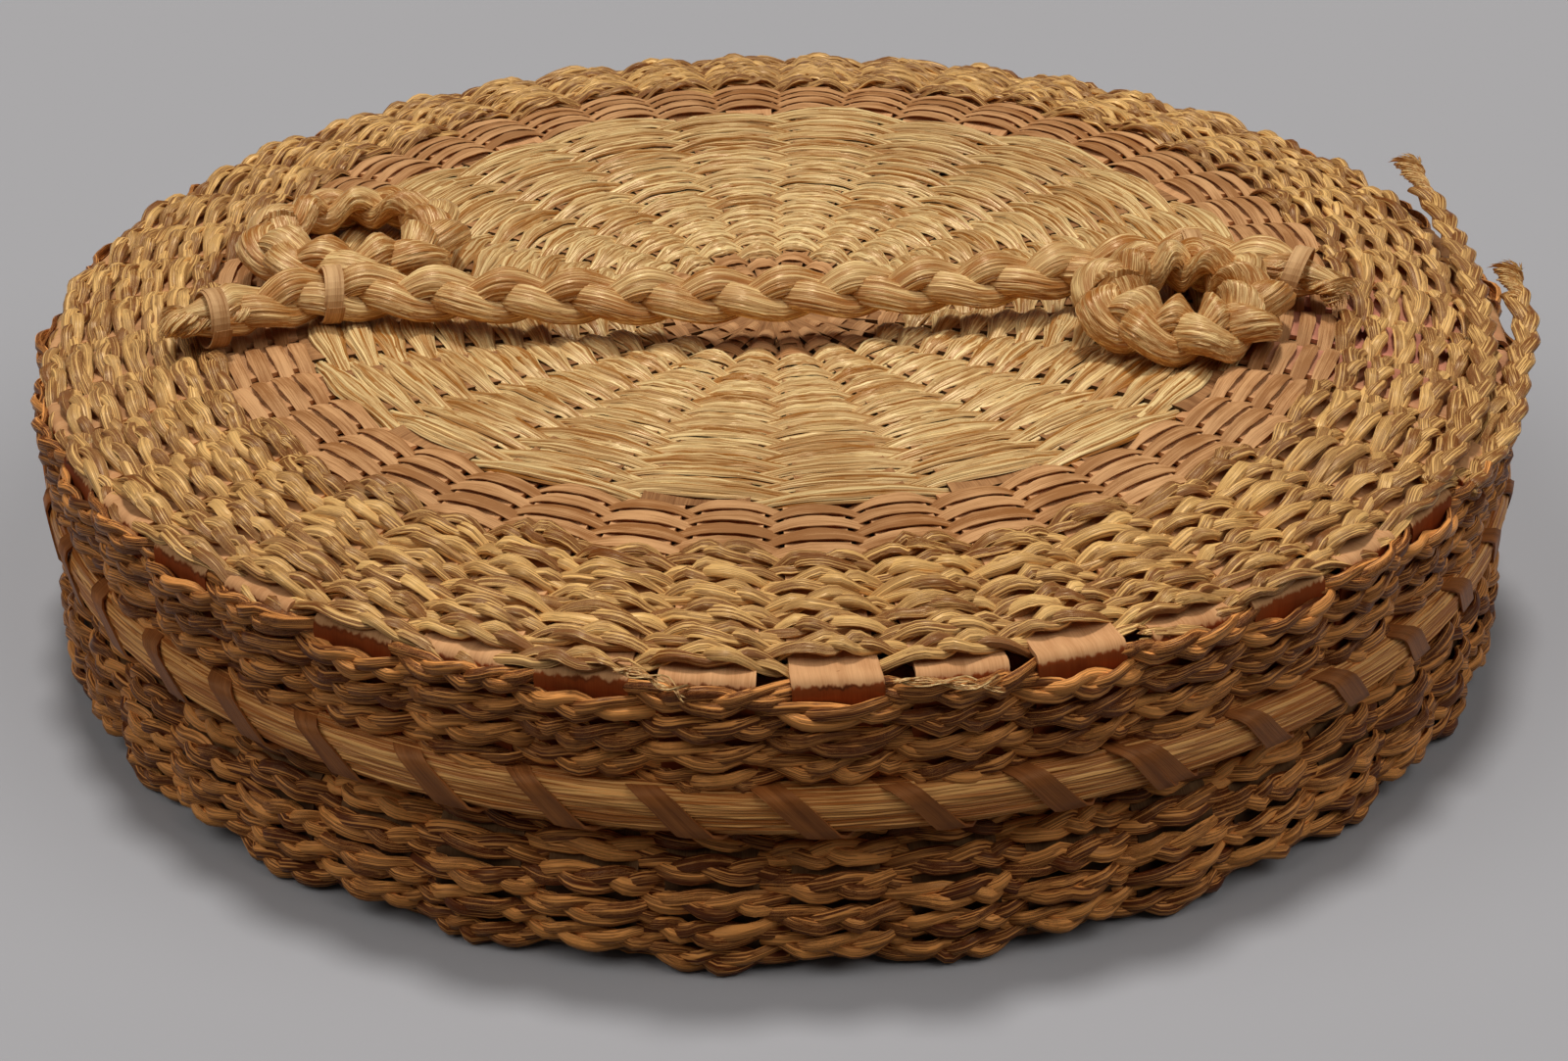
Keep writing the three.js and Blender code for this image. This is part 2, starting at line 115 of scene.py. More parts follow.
BASE_PROFILE = [
    (MIDDLE, FLOOR_HEIGHT),
    (RING[0], FLOOR_HEIGHT),
    FLOOR_EDGE,
    (BELLY - 0.3 * MM, FLOOR_HEIGHT + 0.6 * MM),
    (BELLY, FLOOR_HEIGHT + 3.0 * MM),
    (BELLY, top_of("belly_braid_2") + 1.2 * MM),
    (NECK, foot_of("neck_braid") - 1.2 * MM),
    (NECK, top_of("base_rim_outer_hoop")),
]

# Where rows of the lid begin and end
TOP_ROWS = (BAND[0] - 0.6 * MM, EDGE[0] + 0.1 * MM)
TOP_PARTS = (slice(0, 4), slice(4, 7), slice(7, None))
SIDE_ROWS = (EDGE[1] - 1.0 * MM, top_of("lid_rim_bundle") - 1.0 * MM)
EDGE_ROW = CORNER[0] - 1.5 * MM
EDGE_ARCS = [
    ("lid_edge_braid_right", FRONT + 0.43, 0.93),
    ("lid_edge_braid_left", math.radians(24.0), math.radians(238.0)),
]
HUB_START = 10.0 * MM
HUB_PITCH = 3.1 * MM
BAND_START = RING[0] + 1.2 * MM
RIM_LEVEL = middle_of("lid_rim_bundle") - 0.8 * MM
FOLD_LEVEL = EDGE[1] - 0.4 * MM

# Where rows of the base begin and end
FLOOR_START = 14.0 * MM
FLOOR_END = FLOOR_EDGE[0] - 0.3 * MM
FLOOR_PITCH = 4.2 * MM
FOOT_LEVEL = FLOOR_HEIGHT + 0.68 * MM
NECK_TOP = foot_of("base_rim_lashing") - 0.2 * MM
BASE_RIM_DEPTH = 4.0 * MM
BASE_BRAIDS = (
    ("foot_and_belly_braids", ("foot_braid", "belly_braid_1", "belly_braid_2"), 17),
    ("shoulder_braids", ("shoulder_braid",), 17),
    ("neck_braids", ("neck_braid",), 12),
)

# Strands of the braids: the steps of one plait, and sizes where they differ from the tree's own
STEPS_PER_PLAIT = 17
TOP_BRAID = {"start": BACK}
EDGE_BRAID = {
    "ends": 1.0, "plait_width": 1.55 * MM, "half_width": 1.25 * MM, "weave_height": 1.5 * MM, "pinch": 0.6,
}
WALL_BRAID = {
    "start": BACK, "plait_width": 1.5 * MM, "plait_depth": 0.85 * MM, "half_width": 1.3 * MM,
    "half_thickness": 1.0 * MM, "weave_height": 2.0 * MM, "pinch": 0.75,
}

# Flat weavers, hoops and lashings
FLATNESS = 1.5
NO_PLAIT = {"plaits": 0.0, "plait_width": 0.0, "plait_depth": 0.0, "swell": 0.0, "ridge_depth": 0.0}
FLAT = {**NO_PLAIT, "start": BACK, "squareness": FLATNESS, "undercut": 0.375}
ROUND_ARMS = {"stakes": float(ARMS), "stake_offset": 0.0}
HUB_WEAVER = {
    **FLAT, **ROUND_ARMS, "steps": ARMS * 12 + 1, "weave_height": 1.2 * MM, "pinch": 0.6,
    "half_width": 1.9 * MM, "half_thickness": 0.16 * MM,
}
BAND_WEAVER = {
    **FLAT, "steps": FINGERS * 10 + 1, "weave_height": 1.55 * MM, "pinch": 0.6, "half_width": 1.65 * MM,
    "half_thickness": 0.18 * MM,
}
FLOOR_WEAVER = {
    **FLAT, "steps": FINGERS * 7 + 1, "weave_height": 1.1 * MM, "pinch": 0.8, "half_width": 2.6 * MM,
    "half_thickness": 0.2 * MM,
}
INNER_FLOOR_WEAVER = {**FLOOR_WEAVER, **ROUND_ARMS, "steps": ARMS * 8 + 1}
HOOP_OFF = 1.55 * MM
HOOP = {
    **FLAT, "steps": 265, "weave_height": 0.0, "pinch": 1.0, "wander": 0.0, "half_width": 4.0 * MM,
    "half_thickness": 0.8 * MM,
}
STEPS_PER_WRAP = 20
LASHING_OFF = 1.2 * MM
LID_LASHING = {"half_depth": 4.0 * MM, "half_height": 4.6 * MM, "half_width": 2.8 * MM}
SECOND_WRAP = FRONT + 0.405
SECOND_LASHING = {"half_depth": 4.4 * MM, "half_height": 5.0 * MM, "half_width": 2.0 * MM}
BASE_LASHING = {"half_depth": 2.8 * MM, "half_height": 4.5 * MM, "half_width": 2.6 * MM}

# Standards: crossed arms at the middle, and the fingers that they are split into
ARM = {"count": ARMS, "offset": 0.0, "half_share": 0.36, "least_half_width": 2.2 * MM, "stack": 0.4 * MM}
ARM_OVERLAP = 1.0 * MM
ARM_STOPS = 60
FINGER = {"count": FINGERS, "offset": 0.5, "steps": 90}
FINGER_GAP = 0.2 * MM
FINGER_STOPS = 120

# Loose sweetgrass of the fan and of the lid's rim
FAN_BLADES = 11
FAN_PLACES = (0.1, 0.9)
FAN_HALF_SPREAD = 3.1 * MM
FAN_CREST = 1.0 * MM
FAN_SINK = 0.4 * MM
FAN_SCATTER = 0.2
FAN_BLADE = {
    **NO_PLAIT, **ROUND_ARMS, "start": BACK, "steps": ARMS * 8 + 1, "sides": 5, "weave_height": 1.5 * MM,
    "pinch": 0.5, "half_width": 0.62 * MM, "half_thickness": 0.36 * MM, "wander": 1.2 * MM,
    "unevenness": 0.7 * MM,
}
RIM_LAYERS = ((0.0, 24), (0.7 * MM, 20))
RIM_LAYER_ROWS = 30
RIM_HALF_HEIGHT = 4.3 * MM
RIM_DEPTH = 3.9 * MM
RIM_OFF = 0.5 * MM
RIM_FLATNESS = 1.12
RIM_BLADE = {
    **NO_PLAIT, "start": BACK, "steps": 177, "sides": 6, "weave_height": 0.0, "pinch": 1.0,
    "half_width": 0.6 * MM, "half_thickness": 0.55 * MM, "undercut": 0.3, "wander": 0.9 * MM,
    "unevenness": 0.8 * MM,
}

# Handle: its line seen from above, its cords and its ties
HANDLE_PLAN = [
    (-0.1200, -0.0315),
    (-0.110, -0.0314),
    (-0.0885, -0.0203),
    (-0.050, -0.0206),
    (-0.004, -0.0183),
    (0.042, -0.0138),
    (0.083, -0.0045),
    (0.104, -0.0130),
    (0.114, -0.0192),
]
HANDLE_END = middle_of("left_inner_tie") - 0.6 * MM
HANDLE_DIP = HUB[1] + GRASS_STAND_OFF + 8.6 * MM
LEFT_DROOP = 0.8 * MM
RIGHT_DROOP = 1.6 * MM
HANDLE_STEPS = 10
HANDLE_CORD = {
    "fibres": 1, "sides": 73, "plaits": 5.8, "plait_width": 2.9 * MM, "plait_depth": 1.8 * MM,
    "strand_width": 2.9 * MM, "strand_depth": 2.1 * MM, "swell": 0.2, "ridge_depth": 0.24,
    "tilt": math.radians(36.0), "taper": 15.0, "loose_ends": 0.05,
}
TAIL_STOPS = 15
TAIL = {
    "fibres": 24, "steps": 40, "strand_width": 2.6 * MM, "strand_depth": 1.5 * MM, "core": 0.4,
    "loose_ends": 1.0, "taper": 4.0, "fray_start": 0.45, "fray_spread": 2.4 * MM,
}
LOOP_STOPS = 60
LOOP_CORD = {
    "fibres": 1, "sides": 61, "steps": 113, "plaits": 3.0, "plait_width": 3.1 * MM, "plait_depth": 2.0 * MM,
    "strand_width": 3.4 * MM, "strand_depth": 2.6 * MM, "swell": 0.2, "ridge_depth": 0.24,
    "tilt": math.radians(18.0), "ends": 0.0, "loose_ends": 0.0, "unevenness": 0.0,
}
THICK_LOOP_CORD = {
    **LOOP_CORD, "plait_width": 3.7 * MM, "plait_depth": 2.2 * MM, "strand_width": 3.9 * MM,
    "strand_depth": 3.1 * MM,
}

# Loops as node, centre, reach, rise of front and back, and cord
LOOPS = [
    ("left_loop", (-0.0872, 0.0075), (0.0172, 0.0195), (3.0 * MM, 0.0), LOOP_CORD),
    ("right_loop", (0.0795, -0.0275), (0.0142, 0.0128), (0.6 * MM, 3.8 * MM), THICK_LOOP_CORD),
]

# Ties as node and stop of the handle's line
TIES = (("left_outer_tie", 1), ("left_inner_tie", 2), ("right_inner_tie", 6), ("right_outer_tie", 7))
HANDLE_HALF = (5.7 * MM, 4.6 * MM)
TIE_TURNS = 2
TIE_STEPS = 28
TIE_HALF_WIDTH = 1.6 * MM
TIE_THICKNESS = 0.35 * MM
TIE_SLANT = 1.2 * MM
TIE_SLANT_TURN = 0.6
TIE_SPREAD = 1.0 * MM
TIE_ROOM = 0.35 * MM
TIE_BUILD_UP = 0.5 * MM
TIE_GRAIN = (6.0, 0.3)
TIE_SECTION = ((-1, 0), (1, 0), (1, 1), (-1, 1))

# Braid torn off the edge: stops as degrees round the lid, radius and height in millimetres
LOOSE_STEPS = 8
LOOSE_STEP = 1.0 * MM
LOOSE_BRAID = {
    "fibres": 1, "sides": 17, "plait_width": 1.4 * MM, "plait_depth": 0.6 * MM, "strand_width": 1.55 * MM,
    "strand_depth": 0.95 * MM, "loose_ends": 0.0, "unevenness": 0.3 * MM,
}
TUFT = {
    "fibres": 12, "strand_width": 1.3 * MM, "strand_depth": 1.0 * MM, "plait_width": 0.4 * MM,
    "plait_depth": 0.2 * MM, "fibre": 0.24 * MM, "core": 0.6, "loose_ends": 1.0, "fray_start": 0.1,
    "fray_spread": 2.2 * MM,
}
STRAWS = {
    **TUFT, "fibres": 3, "strand_width": 0.6 * MM, "strand_depth": 0.4 * MM, "fibre": 0.16 * MM,
    "core": 0.25, "fray_start": 0.0,
}
LOOSE_ENDS = [
    (
        "loose_edge_braid_back",
        [(-36.0, 145.5, 60.5), (-24.0, 143.5, 62.6), (-12.0, 142.0, 63.4), (2.0, 143.0, 63.4),
         (13.0, 146.5, 63.8), (19.0, 148.5, 65.8)],
        LOOSE_BRAID,
    ),
    ("loose_edge_tuft_back", [(16.5, 147.6, 64.8), (19.5, 148.8, 66.2), (22.5, 150.2, 68.2)], TUFT),
    (
        "loose_edge_braid_side",
        [(-32.0, 148.5, 56.5), (-22.0, 149.5, 58.5), (-14.0, 149.0, 60.5), (-7.5, 151.0, 61.5),
         (-2.0, 150.0, 64.5)],
        LOOSE_BRAID,
    ),
    ("loose_edge_tuft_side", [(-4.0, 150.4, 63.6), (-2.0, 150.0, 64.8), (0.5, 149.4, 67.0)], TUFT),
    ("frayed_end_left", [(-100.0, 149.0, 60.6), (-97.5, 150.0, 60.4), (-95.0, 151.2, 58.6)], STRAWS),
    ("frayed_end_right", [(-82.5, 149.0, 58.8), (-79.0, 151.2, 59.0), (-75.5, 151.8, 58.2)], STRAWS),
]

# Seeds of the random draws of each group of pieces
LID_BRAIDS_SEED = 11
LID_WEAVERS_SEED = 23
FAN_SEED = 31
LID_RIM_SEED = 41
BASE_SEED = 53
HOOP_SEED = 5
LASHING_SEED = 6


class Profile:
    """Rounded line in the plane of radius and height, measured along its length."""

    ROUNDINGS = 3
    CUT = 0.25
    STEP = 0.1 * MM

    def __init__(self, points, outward):
        self.points = [Vector(point) for point in points]
        for _ in range(self.ROUNDINGS):
            self.points = self.rounded()
        self.outward = outward
        self.marks = [0.0]
        for start, end in zip(self.points, self.points[1:]):
            self.marks.append(self.marks[-1] + (end - start).length)

    def rounded(self):
        """The points with each corner cut off."""
        cut = [self.points[0]]
        for start, end in zip(self.points, self.points[1:]):
            cut += [start.lerp(end, self.CUT), start.lerp(end, 1.0 - self.CUT)]
        return cut + [self.points[-1]]

    def at(self, distance):
        """Radius, height and lean of the outward side at a distance along the line."""
        index = 0
        while index < len(self.marks) - 2 and self.marks[index + 1] < distance:
            index += 1
        start, end = self.points[index], self.points[index + 1]
        along = (end - start).normalized()
        place = start + along * (distance - self.marks[index])
        lean = math.atan2(self.outward * along.x, -self.outward * along.y)
        return place.x, place.y, lean

    def distance_to(self, test):
        """Least distance along the line at which a test of radius and height holds."""
        distance = 0.0
        while distance < self.marks[-1] and not test(*self.at(distance)[:2]):
            distance += self.STEP
        return distance

    def out_to(self, limit):
        """Least distance at which the line passes a radius."""
        return self.distance_to(lambda radius, height: radius > limit)

    def up_to(self, level):
        """Least distance at which the line rises past a level."""
        return self.distance_to(lambda radius, height: height > level)

    def down_to(self, level):
        """Least distance at which the line falls past a level, outside the lid's edge."""
        return self.distance_to(lambda radius, height: radius > EDGE[0] and height < level)

    def stretch(self, start, end, stops):
        """Points between two distances, in the plane of X and Z."""
        places = [self.at(start + (end - start) * stop / stops) for stop in range(stops + 1)]
        return [(radius, 0.0, height) for radius, height, _ in places]


LID = Profile(LID_PROFILE, 1)
BASE = Profile(BASE_PROFILE, -1)


# Node trees written as arithmetic


class Field:
    """One value of a node tree, on which plain arithmetic adds nodes."""

    def __init__(self, tree, socket):
        self.tree = tree
        self.socket = socket

    def __add__(self, other):
        return maths(self.tree, "ADD", self, other)

    __radd__ = __add__

    def __sub__(self, other):
        return maths(self.tree, "SUBTRACT", self, other)

    def __rsub__(self, other):
        return maths(self.tree, "SUBTRACT", other, self)

    def __mul__(self, other):
        return maths(self.tree, "MULTIPLY", self, other)

    __rmul__ = __mul__

    def __truediv__(self, other):
        return maths(self.tree, "DIVIDE", self, other)

    def __rtruediv__(self, other):
        return maths(self.tree, "DIVIDE", other, self)

    def sin(self):
        return maths(self.tree, "SINE", self)

    def cos(self):
        return maths(self.tree, "COSINE", self)

    def floor(self):
        return maths(self.tree, "FLOOR", self)

    def root(self):
        return maths(self.tree, "SQRT", self)

    def size(self):
        return maths(self.tree, "ABSOLUTE", self)

    def within(self, low, high):
        return maths(self.tree, "MINIMUM", maths(self.tree, "MAXIMUM", self, low), high)

    def share(self):
        """The value held between 0 and 1."""
        return self.within(0.0, 1.0)


def connect(tree, value, socket):
    """Feeds a socket with a field, another socket or a plain value."""
    if isinstance(value, Field):
        tree.links.new(value.socket, socket)
    elif isinstance(value, bpy.types.NodeSocket):
        tree.links.new(value, socket)
    else:
        socket.default_value = value


def add_node(tree, kind, inputs=None, **settings):
    """New node with its settings made first and its inputs fed after them."""
    node = tree.nodes.new(kind)
    for name, value in settings.items():
        setattr(node, name, value)
    for name, value in (inputs or {}).items():
        connect(tree, value, node.inputs[name])
    return node


def maths(tree, operation, *values):
    node = add_node(tree, "ShaderNodeMath", operation=operation)
    for socket, value in zip(node.inputs, values):
        connect(tree, value, socket)
    return Field(tree, node.outputs[0])


def vector_maths(tree, operation, *values):
    node = add_node(tree, "ShaderNodeVectorMath", operation=operation)
    for socket, value in zip(node.inputs, values):
        connect(tree, value, socket)
    return node.outputs["Vector"]


def scaled(tree, vector, factor):
    node = add_node(tree, "ShaderNodeVectorMath", {"Vector": vector, "Scale": factor}, operation="SCALE")
    return node.outputs["Vector"]


def vector_of(tree, x, y, z):
    return add_node(tree, "ShaderNodeCombineXYZ", {"X": x, "Y": y, "Z": z}).outputs["Vector"]


def parts_of(tree, vector):
    node = add_node(tree, "ShaderNodeSeparateXYZ", {"Vector": vector})
    return [Field(tree, socket) for socket in node.outputs]


def noise(tree, where, scale, detail=2.0):
    """Smooth noise about zero, from about -0.5 to 0.5."""
    node = add_node(tree, "ShaderNodeTexNoise", {"Vector": where, "Scale": scale, "Detail": detail})
    return Field(tree, node.outputs["Fac"]) - 0.5


def drawn(tree, number):
    """A chance from 0 to 1 that belongs to a number."""
    node = add_node(tree, "ShaderNodeTexWhiteNoise", {"W": number}, noise_dimensions="1D")
    return Field(tree, node.outputs["Value"])


def held(tree, name):
    """Number that each point holds under a name."""
    node = add_node(tree, "GeometryNodeInputNamedAttribute", {"Name": name}, data_type="FLOAT")
    return Field(tree, node.outputs["Attribute"])


def hold(tree, geometry, name, value, kind="FLOAT"):
    """Geometry whose points hold a value under a name."""
    inputs = {"Geometry": geometry, "Name": name, "Value": value}
    node = add_node(tree, "GeometryNodeStoreNamedAttribute", inputs, data_type=kind, domain="POINT")
    return node.outputs["Geometry"]


def label_of(name):
    """Socket label that a plain name stands for."""
    return name.replace("_", " ").title()


# Trees of the pieces


SEAM = 0.002 * MM
SHARP_BEND = 1.1
GRAIN_STEPS = (97.0, 41.0)


def begin_tree(name, sizes):
    """New geometry tree with a named input for each size, its entry and the sizes as fields."""
    tree = bpy.data.node_groups.new(name, "GeometryNodeTree")
    tree.interface.new_socket("Geometry", in_out="INPUT", socket_type="NodeSocketGeometry")
    tree.interface.new_socket("Geometry", in_out="OUTPUT", socket_type="NodeSocketGeometry")
    for label, default in sizes.items():
        kind = "NodeSocketInt" if isinstance(default, int) else "NodeSocketFloat"
        tree.interface.new_socket(label, in_out="INPUT", socket_type=kind).default_value = default
    tree.interface.new_socket("Material", in_out="INPUT", socket_type="NodeSocketMaterial")
    entry = tree.nodes.new("NodeGroupInput")
    return tree, entry, [Field(tree, entry.outputs[label]) for label in sizes]


def strips(tree, points, steps, sides):
    """A strip for each point, with the share of its length and the angle round its section."""
    size = {"Size X": 1.0, "Size Y": 1.0, "Vertices X": steps, "Vertices Y": sides}
    grid = add_node(tree, "GeometryNodeMeshGrid", size)
    inputs = {"Points": points, "Instance": grid.outputs["Mesh"]}
    placed = add_node(tree, "GeometryNodeInstanceOnPoints", inputs)
    real = add_node(tree, "GeometryNodeRealizeInstances", {"Geometry": placed.outputs["Instances"]})
    place = add_node(tree, "GeometryNodeInputPosition").outputs["Position"]
    along, around, _ = parts_of(tree, place)
    return real.outputs["Geometry"], along + 0.5, (around + 0.5) * math.tau


def end_tree(tree, entry, geometry, position, grain):
    """Puts the strips in place, closes their seams and gives them their material."""
    geometry = hold(tree, geometry, "grain", grain, "FLOAT_VECTOR")
    moved = add_node(tree, "GeometryNodeSetPosition", {"Geometry": geometry, "Position": position})
    inputs = {"Geometry": moved.outputs["Geometry"], "Distance": SEAM}
    closed = add_node(tree, "GeometryNodeMergeByDistance", inputs)
    smooth = add_node(tree, "GeometryNodeSetShadeSmooth", {"Geometry": closed.outputs["Geometry"]})
    bend = add_node(tree, "GeometryNodeInputMeshEdgeAngle").outputs["Unsigned Angle"]
    sharp = maths(tree, "GREATER_THAN", bend, SHARP_BEND)
    inputs = {"Geometry": smooth.outputs["Geometry"], "Selection": sharp, "Shade Smooth": False}
    edged = add_node(tree, "GeometryNodeSetShadeSmooth", inputs, domain="EDGE")
    real = add_node(tree, "GeometryNodeRealizeInstances", {"Geometry": edged.outputs["Geometry"]})
    inputs = {"Geometry": real.outputs["Geometry"], "Material": entry.outputs["Material"]}
    painted = add_node(tree, "GeometryNodeSetMaterial", inputs)
    result = tree.nodes.new("NodeGroupOutput")
    connect(tree, painted.outputs["Geometry"], result.inputs["Geometry"])


def off_ring(radius, height, lean, side, lift):
    """Radius and height of a place beside a ring and off its outward side."""
    return radius + side * lean.sin() + lift * lean.cos(), height - side * lean.cos() + lift * lean.sin()


def grain_of(tree, run, side, lift, chance):
    """Place in the grain in millimetres along, across and off a strand, far from that of other strands."""
    return vector_of(tree, run, side / MM + chance * GRAIN_STEPS[0], lift / MM + chance * GRAIN_STEPS[1])


def flat_section(around):
    """Side and lift of a flat section at an angle round it, each from -1 to 1."""
    return (around.cos() * FLATNESS).within(-1.0, 1.0), (around.sin() * FLATNESS).within(-1.0, 1.0)


def curve_frame(tree, curve, share):
    """Place on a curve at a share of its length, its run, and the level and upright directions across it."""
    inputs = {"Curves": curve, "Factor": share}
    sample = add_node(tree, "GeometryNodeSampleCurve", inputs, mode="FACTOR", use_all_curves=True)
    ahead = vector_maths(tree, "NORMALIZE", sample.outputs["Tangent"])
    across = vector_maths(tree, "CROSS_PRODUCT", ahead, (0.0, 0.0, 1.0))
    across = vector_maths(tree, "NORMALIZE", across)
    upright = vector_maths(tree, "CROSS_PRODUCT", across, ahead)
    return sample.outputs["Position"], ahead, across, upright


def numbered_points(tree, count):
    """Points at the origin that hold their number and a chance of their own."""
    points = add_node(tree, "GeometryNodePoints", {"Count": count}).outputs["Points"]
    index = add_node(tree, "GeometryNodeInputIndex").outputs["Index"]
    points = hold(tree, points, "number", index)
    return hold(tree, points, "chance", drawn(tree, held(tree, "number")))


def path_curve(tree, entry):
    return add_node(tree, "GeometryNodeMeshToCurve", {"Mesh": entry.outputs["Geometry"]}).outputs["Curve"]


# Woven rows: how far apart rows and strands lie in the noise, its scales and what it moves
ROW_STEP = 7.3
STRAND_STEP = 53.0
SIZE_STEP = 91.0
SIZE_START = 5.0
ROW_SCALE = 7.0
STRAND_SCALE = 11.0
SIZE_SCALE = 23.0
SIZE_SWING = 0.7
PLAIT_DRIFT = 5.0
RIDGE_STEP = 20.0

# Woven rows: fullness of the crest over a stake, thinning where pinched, bluntness of a cut end
CREST = 0.3
THINNING = 0.4
BLUNTNESS = 60.0


def woven_rings_tree():
    """Strands that run round the basket, over and under its stakes, plaited where they are braid."""
    tree, entry, sizes = begin_tree(
        "woven_rings",
        {
            "Steps": 400,
            "Sides": 9,
            "Start": 0.0,
            "Turn": math.tau,
            "Ends": 0.0,
            "Stakes": float(FINGERS),
            "Stake Offset": 0.5,
            "Weave Height": 2.4 * MM,
            "Pinch": 0.6,
            "Plaits": 50.0,
            "Plait Width": 1.45 * MM,
            "Plait Depth": 0.8 * MM,
            "Swell": 0.12,
            "Half Width": 1.35 * MM,
            "Half Thickness": 0.95 * MM,
            "Undercut": 0.12,
            "Squareness": 1.0,
            "Ridges": 2.6,
            "Ridge Depth": 0.1,
            "Wander": 0.3 * MM,
            "Unevenness": 0.3 * MM,
        },
    )
    (steps, sides, start, turn, ends, stakes, stake_offset, weave_height, pinch, plaits, plait_width,
     plait_depth, swell, half_width, half_thickness, undercut, squareness, ridges, ridge_depth, wander,
     unevenness) = sizes
    geometry, along, around = strips(tree, entry.outputs["Geometry"], steps, sides)
    radius, height, lean, over_phase, across, off, strand_phase, row, chance = [
        held(tree, name) for name in STRAND_FIELDS
    ]
    angle = start + turn * along
    east, north = angle.cos(), angle.sin()
    row_noise = noise(tree, vector_of(tree, east, north, row * ROW_STEP), ROW_SCALE)
    strand_noise = noise(tree, vector_of(tree, east, north, chance * STRAND_STEP), STRAND_SCALE)
    size_place = vector_of(tree, east, north, chance * SIZE_STEP + SIZE_START)
    size_noise = noise(tree, size_place, SIZE_SCALE)
    over = (angle * stakes * 0.5 + (over_phase - stake_offset) * math.pi).cos()
    weave = over * (1.0 + CREST - over * over * CREST)
    broad = pinch + (1.0 - pinch) * over * over
    wave = angle * plaits + strand_phase + row_noise * PLAIT_DRIFT
    upper = (wave * 2.0).sin()
    side = (across + plait_width * wave.sin()) * broad + wander * row_noise + unevenness * strand_noise
    lift = off + plait_depth * upper + weave_height * weave + unevenness * size_noise
    first_tip = (along * BLUNTNESS + 1.0 - ends).share()
    last_tip = ((1.0 - along) * BLUNTNESS + 1.0 - ends).share()
    fullness = (1.0 + size_noise * SIZE_SWING) * (1.0 - THINNING + broad * THINNING) * (first_tip * last_tip)
    faces = sides - 1.0
    part = around / math.tau
    last = maths(tree, "GREATER_THAN", part, (faces - 0.5) / faces)
    arc = (part * faces / (faces - 1.0)).share() - last
    section = (arc * (undercut * 2.0 + 1.0) - undercut) * math.pi
    fullness = fullness * (1.0 + (arc * ridges * math.tau + chance * RIDGE_STEP).cos() * ridge_depth)
    section_side = (section.cos() * squareness).within(-1.0, 1.0) * half_width * fullness
    section_side = section_side * (1.0 + swell * upper)
    section_lift = (section.sin() * squareness).within(-1.0, 1.0) * half_thickness * fullness
    out, up = off_ring(radius, height, lean, side + section_side, lift + section_lift)
    position = vector_of(tree, out * east, out * north, up)
    run = (along - 0.5).size() * turn * radius / MM
    end_tree(tree, entry, geometry, position, grain_of(tree, run, section_side, section_lift, chance))


# Plaited cords: blades of a strand, as the least share and the share that chance adds
ROUNDING = 0.001
BLADE_PLACES = (0.86, 0.2)
BLADE_SIZES = (0.8, 0.5)
BLADE_SHORTENING = 0.04
BLADE_TWIST = 9.0

# Plaited cords: sway of the blades and furrows of a whole strand
SWAY_LENGTH = 40.0
SWAY_STEP = 3.7
RISE_STEP = 5.9
RISE_START = 8.0
SWAY_SCALE = 0.35
FURROWS = 11.0
FURROW_RUN = 3.0
FURROW_STEP = 31.0
CORD_RUN = 260.0

# Plaited cords: ends that are no longer plaited, and how they fray
UNPLAITED = 0.7
UNPLAITING = 0.5
LEAST_SHARE = 0.0001
TUFT_TWIST = 6.0
TUFT_HALF = 0.55
TUFT_FLATNESS = 0.8
TUFT_DRAW = 0.25
FRAY_LEAST = 0.3
FRAY_RISE = 0.3
FRAY_DROOP = 0.25


